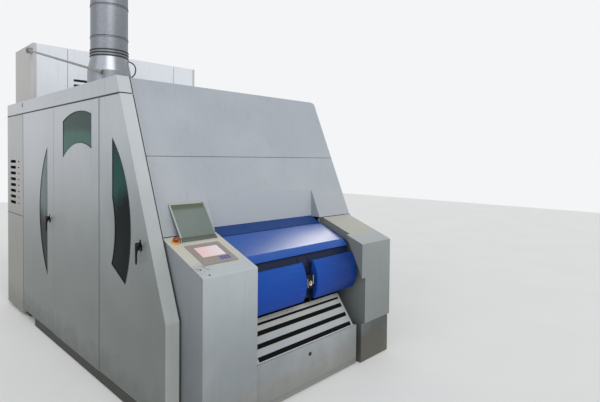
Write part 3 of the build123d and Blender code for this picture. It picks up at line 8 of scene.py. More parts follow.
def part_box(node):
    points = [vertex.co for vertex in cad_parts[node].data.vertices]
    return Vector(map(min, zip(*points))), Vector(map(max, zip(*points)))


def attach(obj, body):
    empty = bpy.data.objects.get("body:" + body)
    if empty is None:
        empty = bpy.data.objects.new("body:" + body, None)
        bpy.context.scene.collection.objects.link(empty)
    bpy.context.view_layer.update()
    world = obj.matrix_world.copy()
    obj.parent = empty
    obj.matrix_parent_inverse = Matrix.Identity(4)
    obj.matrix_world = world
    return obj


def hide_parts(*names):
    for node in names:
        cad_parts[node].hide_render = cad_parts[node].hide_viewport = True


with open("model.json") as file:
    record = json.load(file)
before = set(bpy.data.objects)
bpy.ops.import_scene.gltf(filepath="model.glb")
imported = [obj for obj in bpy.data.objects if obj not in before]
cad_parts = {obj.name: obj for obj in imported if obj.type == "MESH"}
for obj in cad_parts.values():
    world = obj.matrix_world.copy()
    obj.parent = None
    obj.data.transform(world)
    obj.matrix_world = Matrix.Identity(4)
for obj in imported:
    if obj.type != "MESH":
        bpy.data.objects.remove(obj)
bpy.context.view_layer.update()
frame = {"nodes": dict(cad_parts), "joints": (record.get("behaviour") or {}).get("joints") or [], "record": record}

# Camera. It stands at the left front corner of the machine, at eye height, and looks almost
# level along the diagonal, so that both the long left side and the delivery end show.


def show(name, data):
    """New object with that data, linked to the scene."""
    item = bpy.data.objects.new(name, data)
    bpy.context.scene.collection.objects.link(item)
    return item


camera_place = Vector((-2.3993, -4.1380, 1.6904))
camera_turn = radians(45.69)
camera_dip = radians(1.17)
camera_lean = radians(0.51)
ahead = Vector((sin(camera_turn), cos(camera_turn), 0))
across = Vector((cos(camera_turn), -sin(camera_turn), 0))
upright = Vector((0, 0, 1))
view = ahead * cos(camera_dip) - upright * sin(camera_dip)
above = upright * cos(camera_dip) + ahead * sin(camera_dip)
camera_right = across * cos(camera_lean) + above * sin(camera_lean)
camera_up = above * cos(camera_lean) - across * sin(camera_lean)
camera_data = bpy.data.cameras.new("camera")
camera_data.sensor_width = 36
camera_data.lens = 27.10
camera_data.shift_y = -0.0555
camera_data.clip_end = 200
camera = show("camera", camera_data)
turn = Matrix((camera_right, camera_up, -view)).transposed().to_4x4()
camera.matrix_world = Matrix.Translation(camera_place) @ turn
bpy.context.scene.camera = camera
bpy.context.scene.view_settings.view_transform = "Standard"

# Studio. A plain pale floor and an even room light, with one broad soft lamp from the front
# and above, a weak one from the left, and one that gives only the blue lid its sheen.


class Wire:
    """Output socket of a shader node. Sums, products and the like add their Math nodes."""

    def __init__(self, nodes, socket):
        self.nodes = nodes
        self.socket = socket

    def reckon(self, operation, first, second):
        return self.nodes.node("ShaderNodeMath", {"operation": operation}, {0: first, 1: second})

    def __add__(self, other):
        return self.reckon("ADD", self, other)

    def __radd__(self, other):
        return self.reckon("ADD", other, self)

    def __sub__(self, other):
        return self.reckon("SUBTRACT", self, other)

    def __rsub__(self, other):
        return self.reckon("SUBTRACT", other, self)

    def __mul__(self, other):
        return self.reckon("MULTIPLY", self, other)

    def __rmul__(self, other):
        return self.reckon("MULTIPLY", other, self)

    def __abs__(self):
        return self.reckon("ABSOLUTE", self, 0.0)

    def most(self, other):
        return self.reckon("MAXIMUM", self, other)


class Tree:
    """Node tree of one finish or of the room."""

    def __init__(self, tree):
        self.tree = tree

    def node(self, kind, settings, sockets, output=0):
        """Adds a node. Its settings are set first, then the values or links of its sockets."""
        made = self.tree.nodes.new(kind)
        for name, value in settings.items():
            setattr(made, name, value)
        for name, value in sockets.items():
            self.join(made.inputs[name], value)
        return Wire(self, made.outputs[output])

    def join(self, socket, value):
        if isinstance(value, Wire):
            self.tree.links.new(value.socket, socket)
        else:
            socket.default_value = value


def tone(red, green, blue):
    """Colour of a finish from its screen values, 0 to 255."""
    linear = []
    for part in (red, green, blue):
        share = part / 255
        linear.append(share / 12.92 if share <= 0.04045 else ((share + 0.055) / 1.055) ** 2.4)
    return (*linear, 1.0)


room = bpy.data.worlds.new("room")
room.use_nodes = True
bpy.context.scene.world = room
room.node_tree.nodes.clear()
air = Tree(room.node_tree)
path = room.node_tree.nodes.new("ShaderNodeLightPath")
camera_ray, glossy_ray, clear_ray = (
    Wire(air, path.outputs[f"Is {kind} Ray"]) for kind in ("Camera", "Glossy", "Transmission")
)
seen = camera_ray.most(glossy_ray).most(clear_ray)
pale, faint_blue = tone(244, 245, 247), (0.93, 0.965, 1.0, 1.0)
room_light = air.node("ShaderNodeBackground", {}, {"Color": faint_blue, "Strength": 0.50})
backdrop = air.node("ShaderNodeBackground", {}, {"Color": pale, "Strength": 1.0})
mixed = air.node("ShaderNodeMixShader", {}, {0: seen, 1: room_light, 2: backdrop})
ending = room.node_tree.nodes.new("ShaderNodeOutputWorld")
room.node_tree.links.new(mixed.socket, ending.inputs["Surface"])

for name, colour, strength, spread, towards in (
    ("front_lamp", (1.0, 0.985, 0.95), 1.50, 40, (0.28, 0.90, -0.72)),
    ("left_lamp", (0.94, 0.97, 1.0), 0.50, 50, (0.95, 0.25, -0.55)),
):
    lamp = bpy.data.lights.new(name, "SUN")
    lamp.color = colour
    lamp.energy = strength
    lamp.angle = radians(spread)
    show(name, lamp).rotation_euler = Vector(towards).to_track_quat("-Z", "Y").to_euler()

sheen_data = bpy.data.lights.new("sheen_lamp", "AREA")
sheen_data.energy = 150
sheen_data.size = 1.7
sheen_data.color = (1.0, 0.95, 0.78)
sheen_data.diffuse_factor = 0.0
sheen_lamp = show("sheen_lamp", sheen_data)
sheen_lamp.location = (3.70, 0.60, 4.15)
sheen_towards = Vector((0.40, -1.60, 1.06)) - sheen_lamp.location
sheen_lamp.rotation_euler = sheen_towards.to_track_quat("-Z", "Y").to_euler()
sheen_lamp.visible_diffuse = False
shiny_pieces = bpy.data.collections.new("shiny_pieces")
shiny_pieces.objects.link(frame["nodes"]["blue_lid"])
sheen_lamp.light_linking.receiver_collection = shiny_pieces


def rectangle(a_from, a_to, b_from, b_to):
    """Corners of a rectangle, anticlockwise."""
    return [(a_from, b_from), (a_to, b_from), (a_to, b_to), (a_from, b_to)]


half_floor = 15.0
floor_mesh = bpy.data.meshes.new("floor")
floor_corners = rectangle(-half_floor, half_floor, -half_floor, half_floor)
floor_mesh.from_pydata([(x, y, 0) for x, y in floor_corners], [], [(0, 1, 2, 3)])
floor = show("floor", floor_mesh)


class Finish(Tree):
    """Material with its shader. Constants go on the shader's own sockets, by name."""

    def __init__(self, name, constants):
        self.material = bpy.data.materials.new(name)
        self.material.use_nodes = True
        super().__init__(self.material.node_tree)
        self.shader = self.material.node_tree.nodes["Principled BSDF"]
        for socket, value in constants.items():
            self.shader.inputs[socket].default_value = value
        self.here = self.node("ShaderNodeTexCoord", {}, {}, "Object")

    def along(self, axis):
        """Place along that axis, in metres."""
        return self.node("ShaderNodeSeparateXYZ", {}, {0: self.here}, axis)

    def facing(self, axis):
        """How far a face looks along that axis, -1 to 1."""
        normal = self.node("ShaderNodeTexCoord", {}, {}, "Normal")
        return self.node("ShaderNodeSeparateXYZ", {}, {0: normal}, axis)

    def noise(self, size, stretch=(1, 1, 1), detail=3.0, seed=0.0):
        """Clouds of about that size in metres, drawn out along an axis by stretch."""
        scale = tuple(1 / (size * part) for part in stretch)
        sockets = {"Vector": self.here, "Location": (seed, seed, seed), "Scale": scale}
        place = self.node("ShaderNodeMapping", {}, sockets)
        sockets = {"Vector": place, "Scale": 1.0, "Detail": detail}
        return self.node("ShaderNodeTexNoise", {}, sockets, "Fac")

    def step(self, value, low, high):
        """0 below low, 1 above high, smooth between. With low above high it falls instead."""
        sockets = {"Value": value, "From Min": low, "From Max": high}
        return self.node("ShaderNodeMapRange", {"interpolation_type": "SMOOTHSTEP"}, sockets)

    def mix(self, share, first, second):
        return self.node("ShaderNodeMix", {"data_type": "RGBA"}, {0: share, 6: first, 7: second}, 2)

    def cover(self, name, value):
        self.join(self.shader.inputs[name], value)

    def two_tone(self, share, first, second):
        """Base colour between two screen colours."""
        self.cover("Base Color", self.mix(share, tone(*first), tone(*second)))

    def so_far(self):
        """Base colour as it has been built up to now."""
        return Wire(self, self.shader.inputs["Base Color"].links[0].from_socket)

    def relief(self, height, depth):
        """Bump whose full height is depth, in metres."""
        bump = self.node("ShaderNodeBump", {}, {"Height": height, "Distance": depth}, "Normal")
        self.cover("Normal", bump)


concrete = Finish("floor_finish", {"Roughness": 0.75})
concrete.two_tone(concrete.noise(0.9, detail=4.0), (232, 232, 231), (240, 240, 239))
floor_mesh.materials.append(concrete.material)

# Casing: side doors, fixed side panels, roof cover, back panel and plinth rails. Folded steel
# sheet under a light grey stoved coat with a fine orange peel. It darkens and greens towards
# the floor, partly hall dust and partly painted shade, with faint runs and a few scuffs.
# Painted light makes it lighter towards the rear and on front-facing faces, and painted shade
# darkens the left-facing side low down.

mapped_slots = {part["node"]: part["material_slot"] for part in frame["record"]["subparts"]}


def paint(mesh, finish):
    mesh.materials.clear()
    mesh.materials.append(finish.material)


def dress(slot_name, finish):
    """Gives the finish to every CAD node of that slot."""
    for node, name in mapped_slots.items():
        if name == slot_name:
            paint(frame["nodes"][node].data, finish)


def sheet_coat(name, high, low, dust, gloss, fade_from, fade_to):
    """Stoved coat on sheet: colours up high and low down, partly painted shade, dust near the floor, runs, scuffs.
    """
    coat = Finish(name, {"Specular IOR Level": 0.45})
    height = coat.along("Z")
    clouds = coat.noise(0.55, detail=4.0)
    runs = coat.noise(0.035, (1, 1, 14), 4.0, 3.0)
    # The fall from the high colour to the low one towards the floor is partly dust and partly painted shade.
    rise = coat.step(height + (clouds - 0.5) * 0.35, fade_from, fade_to)
    colour = coat.mix(rise, tone(*low), tone(*high))
    colour = coat.mix(coat.step(runs, 0.52, 0.78) * 0.16, colour, tone(*dust))
    colour = coat.mix(coat.step(clouds, 0.35, 0.75) * 0.07, colour, (1, 1, 1, 1))
    splash = coat.step(height + (coat.noise(0.09, seed=7.0) - 0.5) * 0.28, 0.34, 0.06)
    colour = coat.mix(splash * 0.42, colour, tone(*dust))
    marks = coat.step(coat.noise(0.020, (1, 1, 2.2), 2.0, 11.0), 0.735, 0.80)
    scuffs = marks * coat.step(coat.noise(0.4, seed=5.0), 0.5, 0.62)
    coat.cover("Base Color", coat.mix(scuffs * 0.45, colour, tone(120, 118, 116)))
    coat.cover("Roughness", gloss + splash * 0.2 + (clouds - 0.5) * 0.10 + scuffs * 0.1)
    peel = coat.noise(0.0022, detail=1.0) * 0.25
    coat.relief(peel + coat.noise(0.9, detail=1.0) * 6.0, 0.0004)
    return coat


sides = sheet_coat("side_coat", (178, 183, 189), (124, 129, 126), (106, 104, 94), 0.36, 0.40, 2.15)
side_y = sides.along("Y")
side_z = sides.along("Z")
# Painted light: lighter towards the rear, above mid-height.
rear_painted_light = sides.step(side_y, -0.75, 1.10) * sides.step(side_z, 0.5, 1.5)
side_colour_with_painted_shading = sides.mix(rear_painted_light * 0.35, sides.so_far(), tone(200, 200, 204))
# Painted shade on the left-facing side, strongest low down.
facing_left = sides.step(sides.facing("X"), -0.6, -0.9)
left_side_painted_shade = facing_left * sides.step(side_z, 2.05, 0.70)
side_colour_with_painted_shading = sides.mix(left_side_painted_shade * 0.50, side_colour_with_painted_shading, tone(78, 84, 82))
yellowed = sides.step(side_y, 1.235, 1.245) * sides.step(side_z, 2.138, 2.132)
side_colour_with_painted_shading = sides.mix(yellowed * 0.45, side_colour_with_painted_shading, tone(146, 141, 130))
# Painted light on the front-facing faces.
front_face_painted_light = sides.step(sides.facing("Y"), -0.45, -0.85)
sides.cover("Base Color", sides.mix(front_face_painted_light * 0.30, side_colour_with_painted_shading, tone(200, 204, 206)))
dress("side_paint", sides)

# Rubber profiles round the windows. A black edge strip is pressed round each cut-out of the
# doors and the middle panels and holds the pane against the back of the skin.

skin_x = 1.040
datum = -1.669


def place_piece(name, mesh, finish, body):
    """Puts a mesh in the scene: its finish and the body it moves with."""
    item = show(name, mesh)
    paint(mesh, finish)
    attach(item, body)
    return item


def closed_mesh(name, shape, smooth_below):
    """Mesh from a bmesh: doubles merged, faces outwards, and only gentle edges smooth."""
    bmesh.ops.remove_doubles(shape, verts=shape.verts, dist=0.00001)
    bmesh.ops.recalc_face_normals(shape, faces=shape.faces)
    for face in shape.faces:
        face.smooth = True
    for edge in shape.edges:
        if len(edge.link_faces) == 2 and edge.calc_face_angle(0) > radians(smooth_below):
            edge.smooth = False
    mesh = bpy.data.meshes.new(name)
    shape.to_mesh(mesh)
    shape.free()
    return mesh


def add_piece(name, shape, finish, body, smooth_below=35):
    return place_piece(name, closed_mesh(name, shape, smooth_below), finish, body)


def circle(centre_a, centre_b, radius, steps):
    turns = [2 * pi * k / steps for k in range(steps)]
    return [(centre_a + radius * cos(turn), centre_b + radius * sin(turn)) for turn in turns]


def arc(first, middle, last, steps):
    """Points of the arc through three points."""
    ax, ay = first
    bx, by = middle
    cx, cy = last
    d = 2 * (ax * (by - cy) + bx * (cy - ay) + cx * (ay - by))
    a, b, c = ax**2 + ay**2, bx**2 + by**2, cx**2 + cy**2
    ux = (a * (by - cy) + b * (cy - ay) + c * (ay - by)) / d
    uy = (a * (cx - bx) + b * (ax - cx) + c * (bx - ax)) / d
    radius = sqrt((ax - ux) ** 2 + (ay - uy) ** 2)
    start = atan2(ay - uy, ax - ux)
    half = (atan2(by - uy, bx - ux) - start + pi) % (2 * pi) - pi
    end = atan2(cy - uy, cx - ux) - start
    end += 2 * pi * round((2 * half - end) / (2 * pi))
    angles = [start + end * i / steps for i in range(steps)]
    return [(ux + radius * cos(angle), uy + radius * sin(angle)) for angle in angles] + [last]


def inset(points, amount):
    """Outline moved inwards, for one drawn anticlockwise."""
    moved = []
    for index, (px, py) in enumerate(points):
        before = Vector(points[index - 1])
        here = Vector((px, py))
        after = Vector(points[(index + 1) % len(points)])
        first = (here - before).normalized()
        second = (after - here).normalized()
        inward = Vector((-first.y - second.y, first.x + second.x)).normalized()
        reach = amount / max(0.35, sqrt((1 + first.dot(second)) / 2))
        moved.append(tuple(here + inward * reach))
    return moved


def anticlockwise(points):
    before = points[-1:] + points[:-1]
    area = sum(ax * by - bx * ay for (ax, ay), (bx, by) in zip(before, points))
    return points if area > 0 else points[::-1]


def banded(shape, first, second):
    """Faces between two rings with the same number of corners."""
    for i in range(len(first)):
        j = (i + 1) % len(first)
        shape.faces.new((first[i], first[j], second[j], second[i]))


def frame_strip(shape, outer, inner, low, high, place):
    """Closed strip between two outlines with the same number of points, from depth low to high."""
    rings = []
    for outline, depth in ((outer, low), (outer, high), (inner, high), (inner, low)):
        rings.append([shape.verts.new(place(px, py, depth)) for px, py in outline])
    for k in range(4):
        banded(shape, rings[k], rings[(k + 1) % 4])


def lofted(shape, sections, place):
    """Closed skin over a row of outlines, each a list of (a, b, c) points with the same count."""
    rings = [[shape.verts.new(place(*point)) for point in section] for section in sections]
    for first, second in zip(rings, rings[1:]):
        banded(shape, first, second)
    shape.faces.new(rings[0][::-1])
    shape.faces.new(rings[-1])


def prism(shape, outline, low, high, place):
    """Closed plate over an outline of (a, b) points, from depth low to high."""
    lofted(shape, [[(a, b, depth) for a, b in outline] for depth in (low, high)], place)


def as_is(x, y, z):
    return Vector((x, y, z))


def side_place(side):
    """Turns (y from the casing's datum, height, distance out from the skin) into a point."""
    return lambda y, z, out: Vector((side * (skin_x + out), datum + y, z))


leaf = arc((0.507, 0.822), (0.431, 1.290), (0.716, 1.827), 28)
leaf += arc((0.716, 1.400), (0.674, 1.165), (0.729, 0.927), 16)
lens = arc((2.134, 0.587), (2.360, 1.200), (2.134, 1.774), 36)
arch = arc((1.093, 2.021), (1.330, 2.058), (1.715, 1.992), 20)
arch += arc((1.715, 1.680), (1.330, 1.800), (1.093, 1.753), 20)

rubber = Finish("edge_rubber", {"Roughness": 0.62})
rubber.two_tone(rubber.noise(0.03), (22, 23, 24), (38, 39, 41))
rubber.relief(rubber.noise(0.0008, detail=1.0), 0.00008)

edge_gap, edge_width = 0.0001, 0.0035
edge_proud, edge_deep = 0.0012, 0.0024
for outline_name, outline, door in (
    ("leaf", leaf, "front_door"), ("lens", lens, "rear_door"), ("arch", arch, "")
):
    loop = anticlockwise(outline)
    for side, side_name in ((-1, "left"), (1, "right")):
        shape = bmesh.new()
        outer, inner = inset(loop, edge_gap), inset(loop, edge_width)
        frame_strip(shape, outer, inner, -edge_deep, edge_proud, side_place(side))
        body = f"{side_name}_{door}" if door else "root"
        add_piece(f"{side_name}_{outline_name}_edging", shape, rubber, body)

# Edge strips. Narrow black strips close the joints behind the front doors and before the rear
# panels, the long joint under the roof's side band, and the joint across each rear panel.

rake = radians(23.6)
kink_height = 0.688
strip_width = 0.0060
strip_depths = (0.0001, 0.0006)
strip_starts = {"left": -0.030, "right": 0.060}
strip_end_gap = 0.002
below_top, above_top = 0.0050, 0.0076
panel_joint = (1.054, 1.060)
for side, side_name in ((-1, "left"), (1, "right")):
    for part_name in ("front_door", "middle_panel", "rear_door", "rear_panel"):
        low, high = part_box(f"{side_name}_{part_name}")
        top = high.z
        strip_foot = low.z + 0.004
        near = low.y - datum
        far = high.y - datum
        if part_name == "front_door":
            near = (top - kink_height) * tan(rake) + strip_starts[side_name]
        strips = [(near + strip_end_gap, far, top - below_top, top + above_top)]
        if part_name == "front_door":
            strips.append((far - strip_width, far, strip_foot, top))
        if part_name == "rear_panel":
            strips.append((near, near + strip_width, strip_foot, top))
            strips.append((near + strip_width, far - strip_end_gap, *panel_joint))
        shape = bmesh.new()
        for strip in strips:
            prism(shape, rectangle(*strip), *strip_depths, side_place(side))
        body = f"{side_name}_{part_name}" if part_name.endswith("door") else "root"
        add_piece(f"{side_name}_{part_name}_strip", shape, rubber, body)

# Band clip. A small flat piece of black rubber, pressed onto the left side band of the roof
# near its rear end.

band_out = -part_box("roof_cover")[0].x - skin_x
clip_outline = rectangle(2.928, 2.946, 2.204, 2.242)
shape = bmesh.new()
prism(shape, clip_outline, band_out + 0.0001, band_out + 0.0020, side_place(-1))
add_piece("band_clip", shape, rubber, "root")

# Window panes. Flat acrylic, tinted dark green. Bands of tint by height are a painted
# reflection of the hall, and differ from window to window. A little dust lies on them.

pane = Finish("tinted_pane", {"IOR": 1.10})
film = pane.noise(0.22, (1, 1, 1.6), 4.0)
pane_y = pane.along("Y")
pane_height = pane.along("Z") + (film - 0.5) * 0.35
# Bands by height, here and below, are a painted reflection of the hall.
tint = pane.mix(pane.step(pane_height, 1.34, 1.56), tone(14, 22, 23), tone(20, 72, 67))
tint = pane.mix(pane.step(pane_height, 1.66, 1.80), tint, tone(44, 52, 53))
arch_tint = pane.mix(pane.step(pane_height, 1.30, 1.75), tone(20, 24, 24), tone(74, 108, 98))
tint = pane.mix(pane.step(pane_y, -0.80, -0.60), tint, arch_tint)
rear_pane_reflection = pane.step(pane_y, 0.38, 0.48) * pane.step(pane_height, 1.05, 1.30)
tint = pane.mix(rear_pane_reflection * 0.75, tint, tone(118, 132, 130))
top_pane_reflection = pane.step(pane.along("Z") + (film - 0.5) * 0.16, 1.85, 1.92)
tint = pane.mix(top_pane_reflection * 0.75, tint, tone(64, 72, 71))
pane.cover("Base Color", pane.mix(pane.step(film, 0.5, 0.8) * 0.08, tint, tone(96, 112, 108)))
pane.cover("Roughness", 0.06 + pane.step(film, 0.4, 0.8) * 0.10)
dress("tinted_glass", pane)

# Door handles. Black moulded lever latches: a plate with a pointed head on the skin, a domed
# boss, and a lever that narrows as it hangs down. One on each of the four doors.

black = Finish("black_moulding", {"Specular IOR Level": 0.2})
grain = black.noise(0.0011, detail=2.0)
rub = black.step(black.noise(0.025, detail=3.0, seed=2.0), 0.55, 0.75)
black.two_tone(rub * 0.5, (12, 13, 14), (34, 35, 37))
black.cover("Roughness", 0.42 + grain * 0.12 - rub * 0.08)
black.relief(grain, 0.00006)
dress("black_plastic", black)


def lever_ring(centre_y, z, half_width, out_from, out_to, steps=20):
    """Rounded section of a lever at height z, from one distance off the skin to another."""
    middle = (out_from + out_to) / 2
    half = (out_to - out_from) / 2
    ring = []
    for i in range(steps):
        angle = 2 * pi * i / steps
        bulge = abs(cos(angle)) ** 0.7
        rise = abs(sin(angle)) ** 0.7
        y = centre_y + half_width * (bulge if cos(angle) > 0 else -bulge)
        out = middle + half * (rise if sin(angle) > 0 else -rise)
        ring.append((y, z, out))
    return ring


plate_out = 0.0046
spindle_radius, spindle_depths = 0.0079, (-0.021, 0.010)
tongue_reach, tongue_half, tongue_depths = 0.045, 0.009, (-0.024, -0.020)
tongue_outline = rectangle(-tongue_reach, tongue_half, -tongue_half, tongue_half)
plate_line = [
    (0.000, 0.031), (0.010, 0.028), (0.0165, 0.016), (0.0205, 0.000), (0.0205, -0.030),
    (0.0185, -0.038), (0.010, -0.0435),
]
plate_loop = plate_line + [(0.0, -0.0445)] + [(-a, b) for a, b in plate_line[:0:-1]]
plate_loop = anticlockwise(plate_loop)
lever_levels = [
    (0.0150, 0.0040, 0.0240, 0.0300),
    (0.0130, 0.0110, 0.0060, 0.0350),
    (0.0060, 0.0155, 0.0052, 0.0375),
    (-0.0080, 0.0165, 0.0052, 0.0380),
    (-0.0220, 0.0145, 0.0100, 0.0380),
    (-0.0420, 0.0110, 0.0240, 0.0378),
    (-0.0680, 0.0098, 0.0265, 0.0376),
    (-0.0950, 0.0092, 0.0262, 0.0372),
    (-0.1150, 0.0080, 0.0268, 0.0366),
    (-0.1245, 0.0042, 0.0290, 0.0350),
]
lever_top = lever_levels[0][0]
for door in ("left_front", "left_rear", "right_front", "right_rear"):
    place = side_place(-1 if door.startswith("left") else 1)
    handle_low, handle_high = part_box(door + "_handle")
    handle_y = handle_low.y + tongue_reach - datum
    handle_z = handle_high.z - lever_top

    shape = bmesh.new()
    sections = []
    for shrink, out in (
        (0.0, 0.0002), (0.0, 0.0040), (0.0012, plate_out), (0.0030, plate_out + 0.0002)
    ):
        loop = inset(plate_loop, shrink)
        sections.append([(handle_y + a, handle_z + b, out) for a, b in loop])
    lofted(shape, sections, place)
    add_piece(door + "_handle_plate", shape, black, door + "_door")

    shape = bmesh.new()
    sections = []
    for level, width, low, high in lever_levels:
        sections.append(lever_ring(handle_y, handle_z + level, width, low, high))
    lofted(shape, sections, place)
    prism(shape, circle(handle_y, handle_z, spindle_radius, 16), *spindle_depths, place)
    tongue = [(handle_y + a, handle_z + b) for a, b in tongue_outline]
    prism(shape, tongue, *tongue_depths, place)
    lever = add_piece(door + "_lever", shape, black, door + "_handle", 40)
    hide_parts(door + "_handle")

# Hood. Two raked sheet panels in a light blue-grey satin coat, set back behind the flange of
# the left door, with a black seal along that step and a turned corner at the top right.

hood = sheet_coat("hood_coat", (160, 166, 174), (160, 166, 172), (132, 128, 118), 0.33, 0.9, 2.1)
# Painted light lifts the upright recess face to the raked hood's brightness, and painted shade darkens the
# left-facing gusset faces.
level_face = hood.step(hood.facing("Z"), 0.30, 0.10)
recess_painted_light = level_face * hood.step(hood.facing("Y"), -0.7, -0.9)
hood_colour = hood.mix(recess_painted_light * 0.7, hood.so_far(), tone(176, 182, 189))
gusset_painted_shade = hood.step(hood.facing("X"), -0.7, -0.9)
hood.cover("Base Color", hood.mix(gusset_painted_shade * 0.6, hood_colour, tone(132, 140, 144)))
dress("hood_paint", hood)

casing_front = -0.032


def front_y(depth, z):
    """Distance back from the casing's datum of its front outline at height z, set inwards."""
    slanted = casing_front + (z - kink_height) * tan(rake) + depth / cos(rake)
    return max(slanted, casing_front + depth)


seal_outline = rectangle(-0.9470, -0.9397, -0.0010, 0.0001)
for name, body, heights in (
    ("flange_edging", "left_front_door", (0.086, kink_height, 2.131)),
    ("corner_edging", "root", (2.141, 2.261)),
):
    rings = []
    for z in heights:
        rings.append([(x, datum + front_y(depth, z), z) for x, depth in seal_outline])
    shape = bmesh.new()
    lofted(shape, rings, as_is)
    add_piece(name, shape, rubber, body)

# Consoles. Bent sheet housings in a warm near-white coat on both sides of the delivery. The
# slanting tops are rubbed by hands and work, with the coat worn round the two small holes.
# Their up-facing faces are lighter, partly by dust and partly by painted light, and painted
# shade darkens their left-facing faces and the whole right console.

console = sheet_coat(
    "console_coat", (170, 176, 180), (132, 138, 141), (118, 112, 98), 0.40, 0.2, 1.05
)
worn_corner = (-0.880, -1.845, 1.035)
upward = console.step(console.facing("Z"), 0.4, 0.85)
worn = console.step(console.noise(0.05, (1.6, 1, 1), 4.0, 9.0), 0.55, 0.75)
to_corner = console.node(
    "ShaderNodeVectorMath", {"operation": "DISTANCE"}, {0: console.here, 1: worn_corner}, "Value"
)
flakes = console.step(console.noise(0.020, detail=5.0, seed=6.0), 0.44, 0.70)
rubbed = console.step(to_corner, 0.085, 0.02) * flakes
handled = console.step(console.along("Y"), -1.88, -1.72)
top_colour = console.mix(handled, tone(182, 188, 192), tone(195, 193, 180))
top_colour = console.mix(worn * 0.3, top_colour, tone(166, 156, 136))
top_colour = console.mix(rubbed * 0.75, top_colour, tone(112, 94, 72))
# Up-facing faces take the top colour: partly dust and wear, partly painted light.
coated = console.mix(upward * 0.9, console.so_far(), top_colour)
# Painted shade on the left-facing faces.
shaded = console.step(console.facing("X"), -0.6, -0.9)
coated = console.mix(shaded * 0.55, coated, tone(92, 97, 99))
# Painted shade on the right console, weaker on its top.
right_console_painted_shade = console.step(console.along("X"), 0.40, 0.60) * (upward * -0.30 + 0.62)
console.cover("Base Color", console.mix(right_console_painted_shade, coated, tone(112, 117, 114)))
console.shader.inputs["Specular IOR Level"].default_value = 0.25
dress("console_paint", console)

console_front = -0.262
console_height = 0.990
console_rear_height = 1.163
console_run = front_y(0.031, console_rear_height) - console_front
console_slope = atan2(console_rear_height - console_height, console_run)


def on_console(x, along, above):
    """Point on the left console's top: x, distance up its slope, height above its sheet."""
    y = console_front + along * cos(console_slope) - above * sin(console_slope)
    z = console_height + along * sin(console_slope) + above * cos(console_slope)
    return Vector((x, datum + y, z))


plug_radius, plug_heights = 0.0065, (0.0002, 0.0012)
shape = bmesh.new()
for plug_x, plug_along in ((-0.872, 0.022), (-0.894, 0.088)):
    prism(shape, circle(plug_x, plug_along, plug_radius, 20), *plug_heights, on_console)
add_piece("console_plugs", shape, rubber, "root")

# Touch panel. Brown-grey moulded bezel let into the left console's top, a lit screen under a
# flush glass, and a block of blue touch keys at the lower right corner.

bezel = Finish("bezel_plastic", {"Specular IOR Level": 0.4})
bezel_grain = bezel.noise(0.0009, detail=2.0)
bezel.two_tone(bezel.noise(0.06, detail=4.0), (138, 129, 122), (158, 149, 142))
bezel.cover("Roughness", 0.45 + bezel_grain * 0.15)
bezel.relief(bezel_grain, 0.00005)
dress("panel_plastic", bezel)

screen_left, screen_right = -0.8045, -0.6295
screen_low, screen_high = 0.2015, 0.3225
screen_heights, key_heights = (0.0046, 0.0058), (0.0061, 0.0072)


def rounded(a_from, a_to, b_from, b_to, radius, steps=4):
    """Rectangle with round corners, anticlockwise."""
    loop = []
    corners = ((a_to, b_from, -90), (a_to, b_to, 0), (a_from, b_to, 90), (a_from, b_from, 180))
    for corner_a, corner_b, start in corners:
        inner_a = corner_a + (radius if corner_a == a_from else -radius)
        inner_b = corner_b + (radius if corner_b == b_from else -radius)
        for k in range(steps + 1):
            angle = radians(start + 90 * k / steps)
            loop.append((inner_a + radius * cos(angle), inner_b + radius * sin(angle)))
    return loop


glass = Finish("screen_glass", {"Roughness": 0.25, "Emission Strength": 0.18})
across_screen = glass.step(glass.along("X"), screen_left, screen_right)
page = glass.mix(across_screen, tone(218, 182, 182), tone(214, 204, 212))
page_clouds = glass.step(glass.noise(0.05), 0.45, 0.7)
page = glass.mix(page_clouds * 0.3, page, tone(222, 188, 178))
glass.cover("Base Color", page)
glass.cover("Emission Color", page)
corner_radius = 0.003
screen_outline = rounded(screen_left, screen_right, screen_low, screen_high, corner_radius)
shape = bmesh.new()
prism(shape, screen_outline, *screen_heights, on_console)
add_piece("screen", shape, glass, "root")

blue_keys = Finish("key_film", {"Roughness": 0.35})
blue_keys.two_tone(blue_keys.noise(0.02), (52, 66, 140), (88, 98, 168))
key_left, key_low = -0.700, 0.150
key_width, key_height = 0.022, 0.016
key_step, line_step = 0.027, 0.021
shape = bmesh.new()
for column in range(3):
    for line in range(2):
        left = key_left + column * key_step
        low = key_low + line * line_step
        key_outline = rounded(left, left + key_width, low, low + key_height, corner_radius)
        prism(shape, key_outline, *key_heights, on_console)
add_piece("screen_keys", shape, blue_keys, "root")

# Emergency stop. Mushroom head and stem moulded in glossy red plastic, which slide down
# through a yellow collar fixed on the console's top.

stop_foot = on_console(-0.877, 0.425, 0)
console_up = on_console(0, 0, 1) - on_console(0, 0, 0)


def turned(shape, profile, centre, axis_up, steps=32):
    """Body of revolution from (radius, height) points about an axis through the centre."""
    turn_to = Vector(axis_up).normalized().to_track_quat("Z", "Y")
    rings = []
    for radius, height in profile:
        ring = []
        for k in range(steps if radius > 0 else 1):
            angle = 2 * pi * k / steps
            point = Vector((radius * cos(angle), radius * sin(angle), height))
            ring.append(shape.verts.new(Vector(centre) + turn_to @ point))
        rings.append(ring)
    for first, second in zip(rings, rings[1:]):
        for i in range(steps):
            corners = []
            for ring, k in ((first, i), (first, i + 1), (second, i + 1), (second, i)):
                corner = ring[k % steps % len(ring)]
                if corner not in corners:
                    corners.append(corner)
            if len(corners) > 2:
                shape.faces.new(corners)


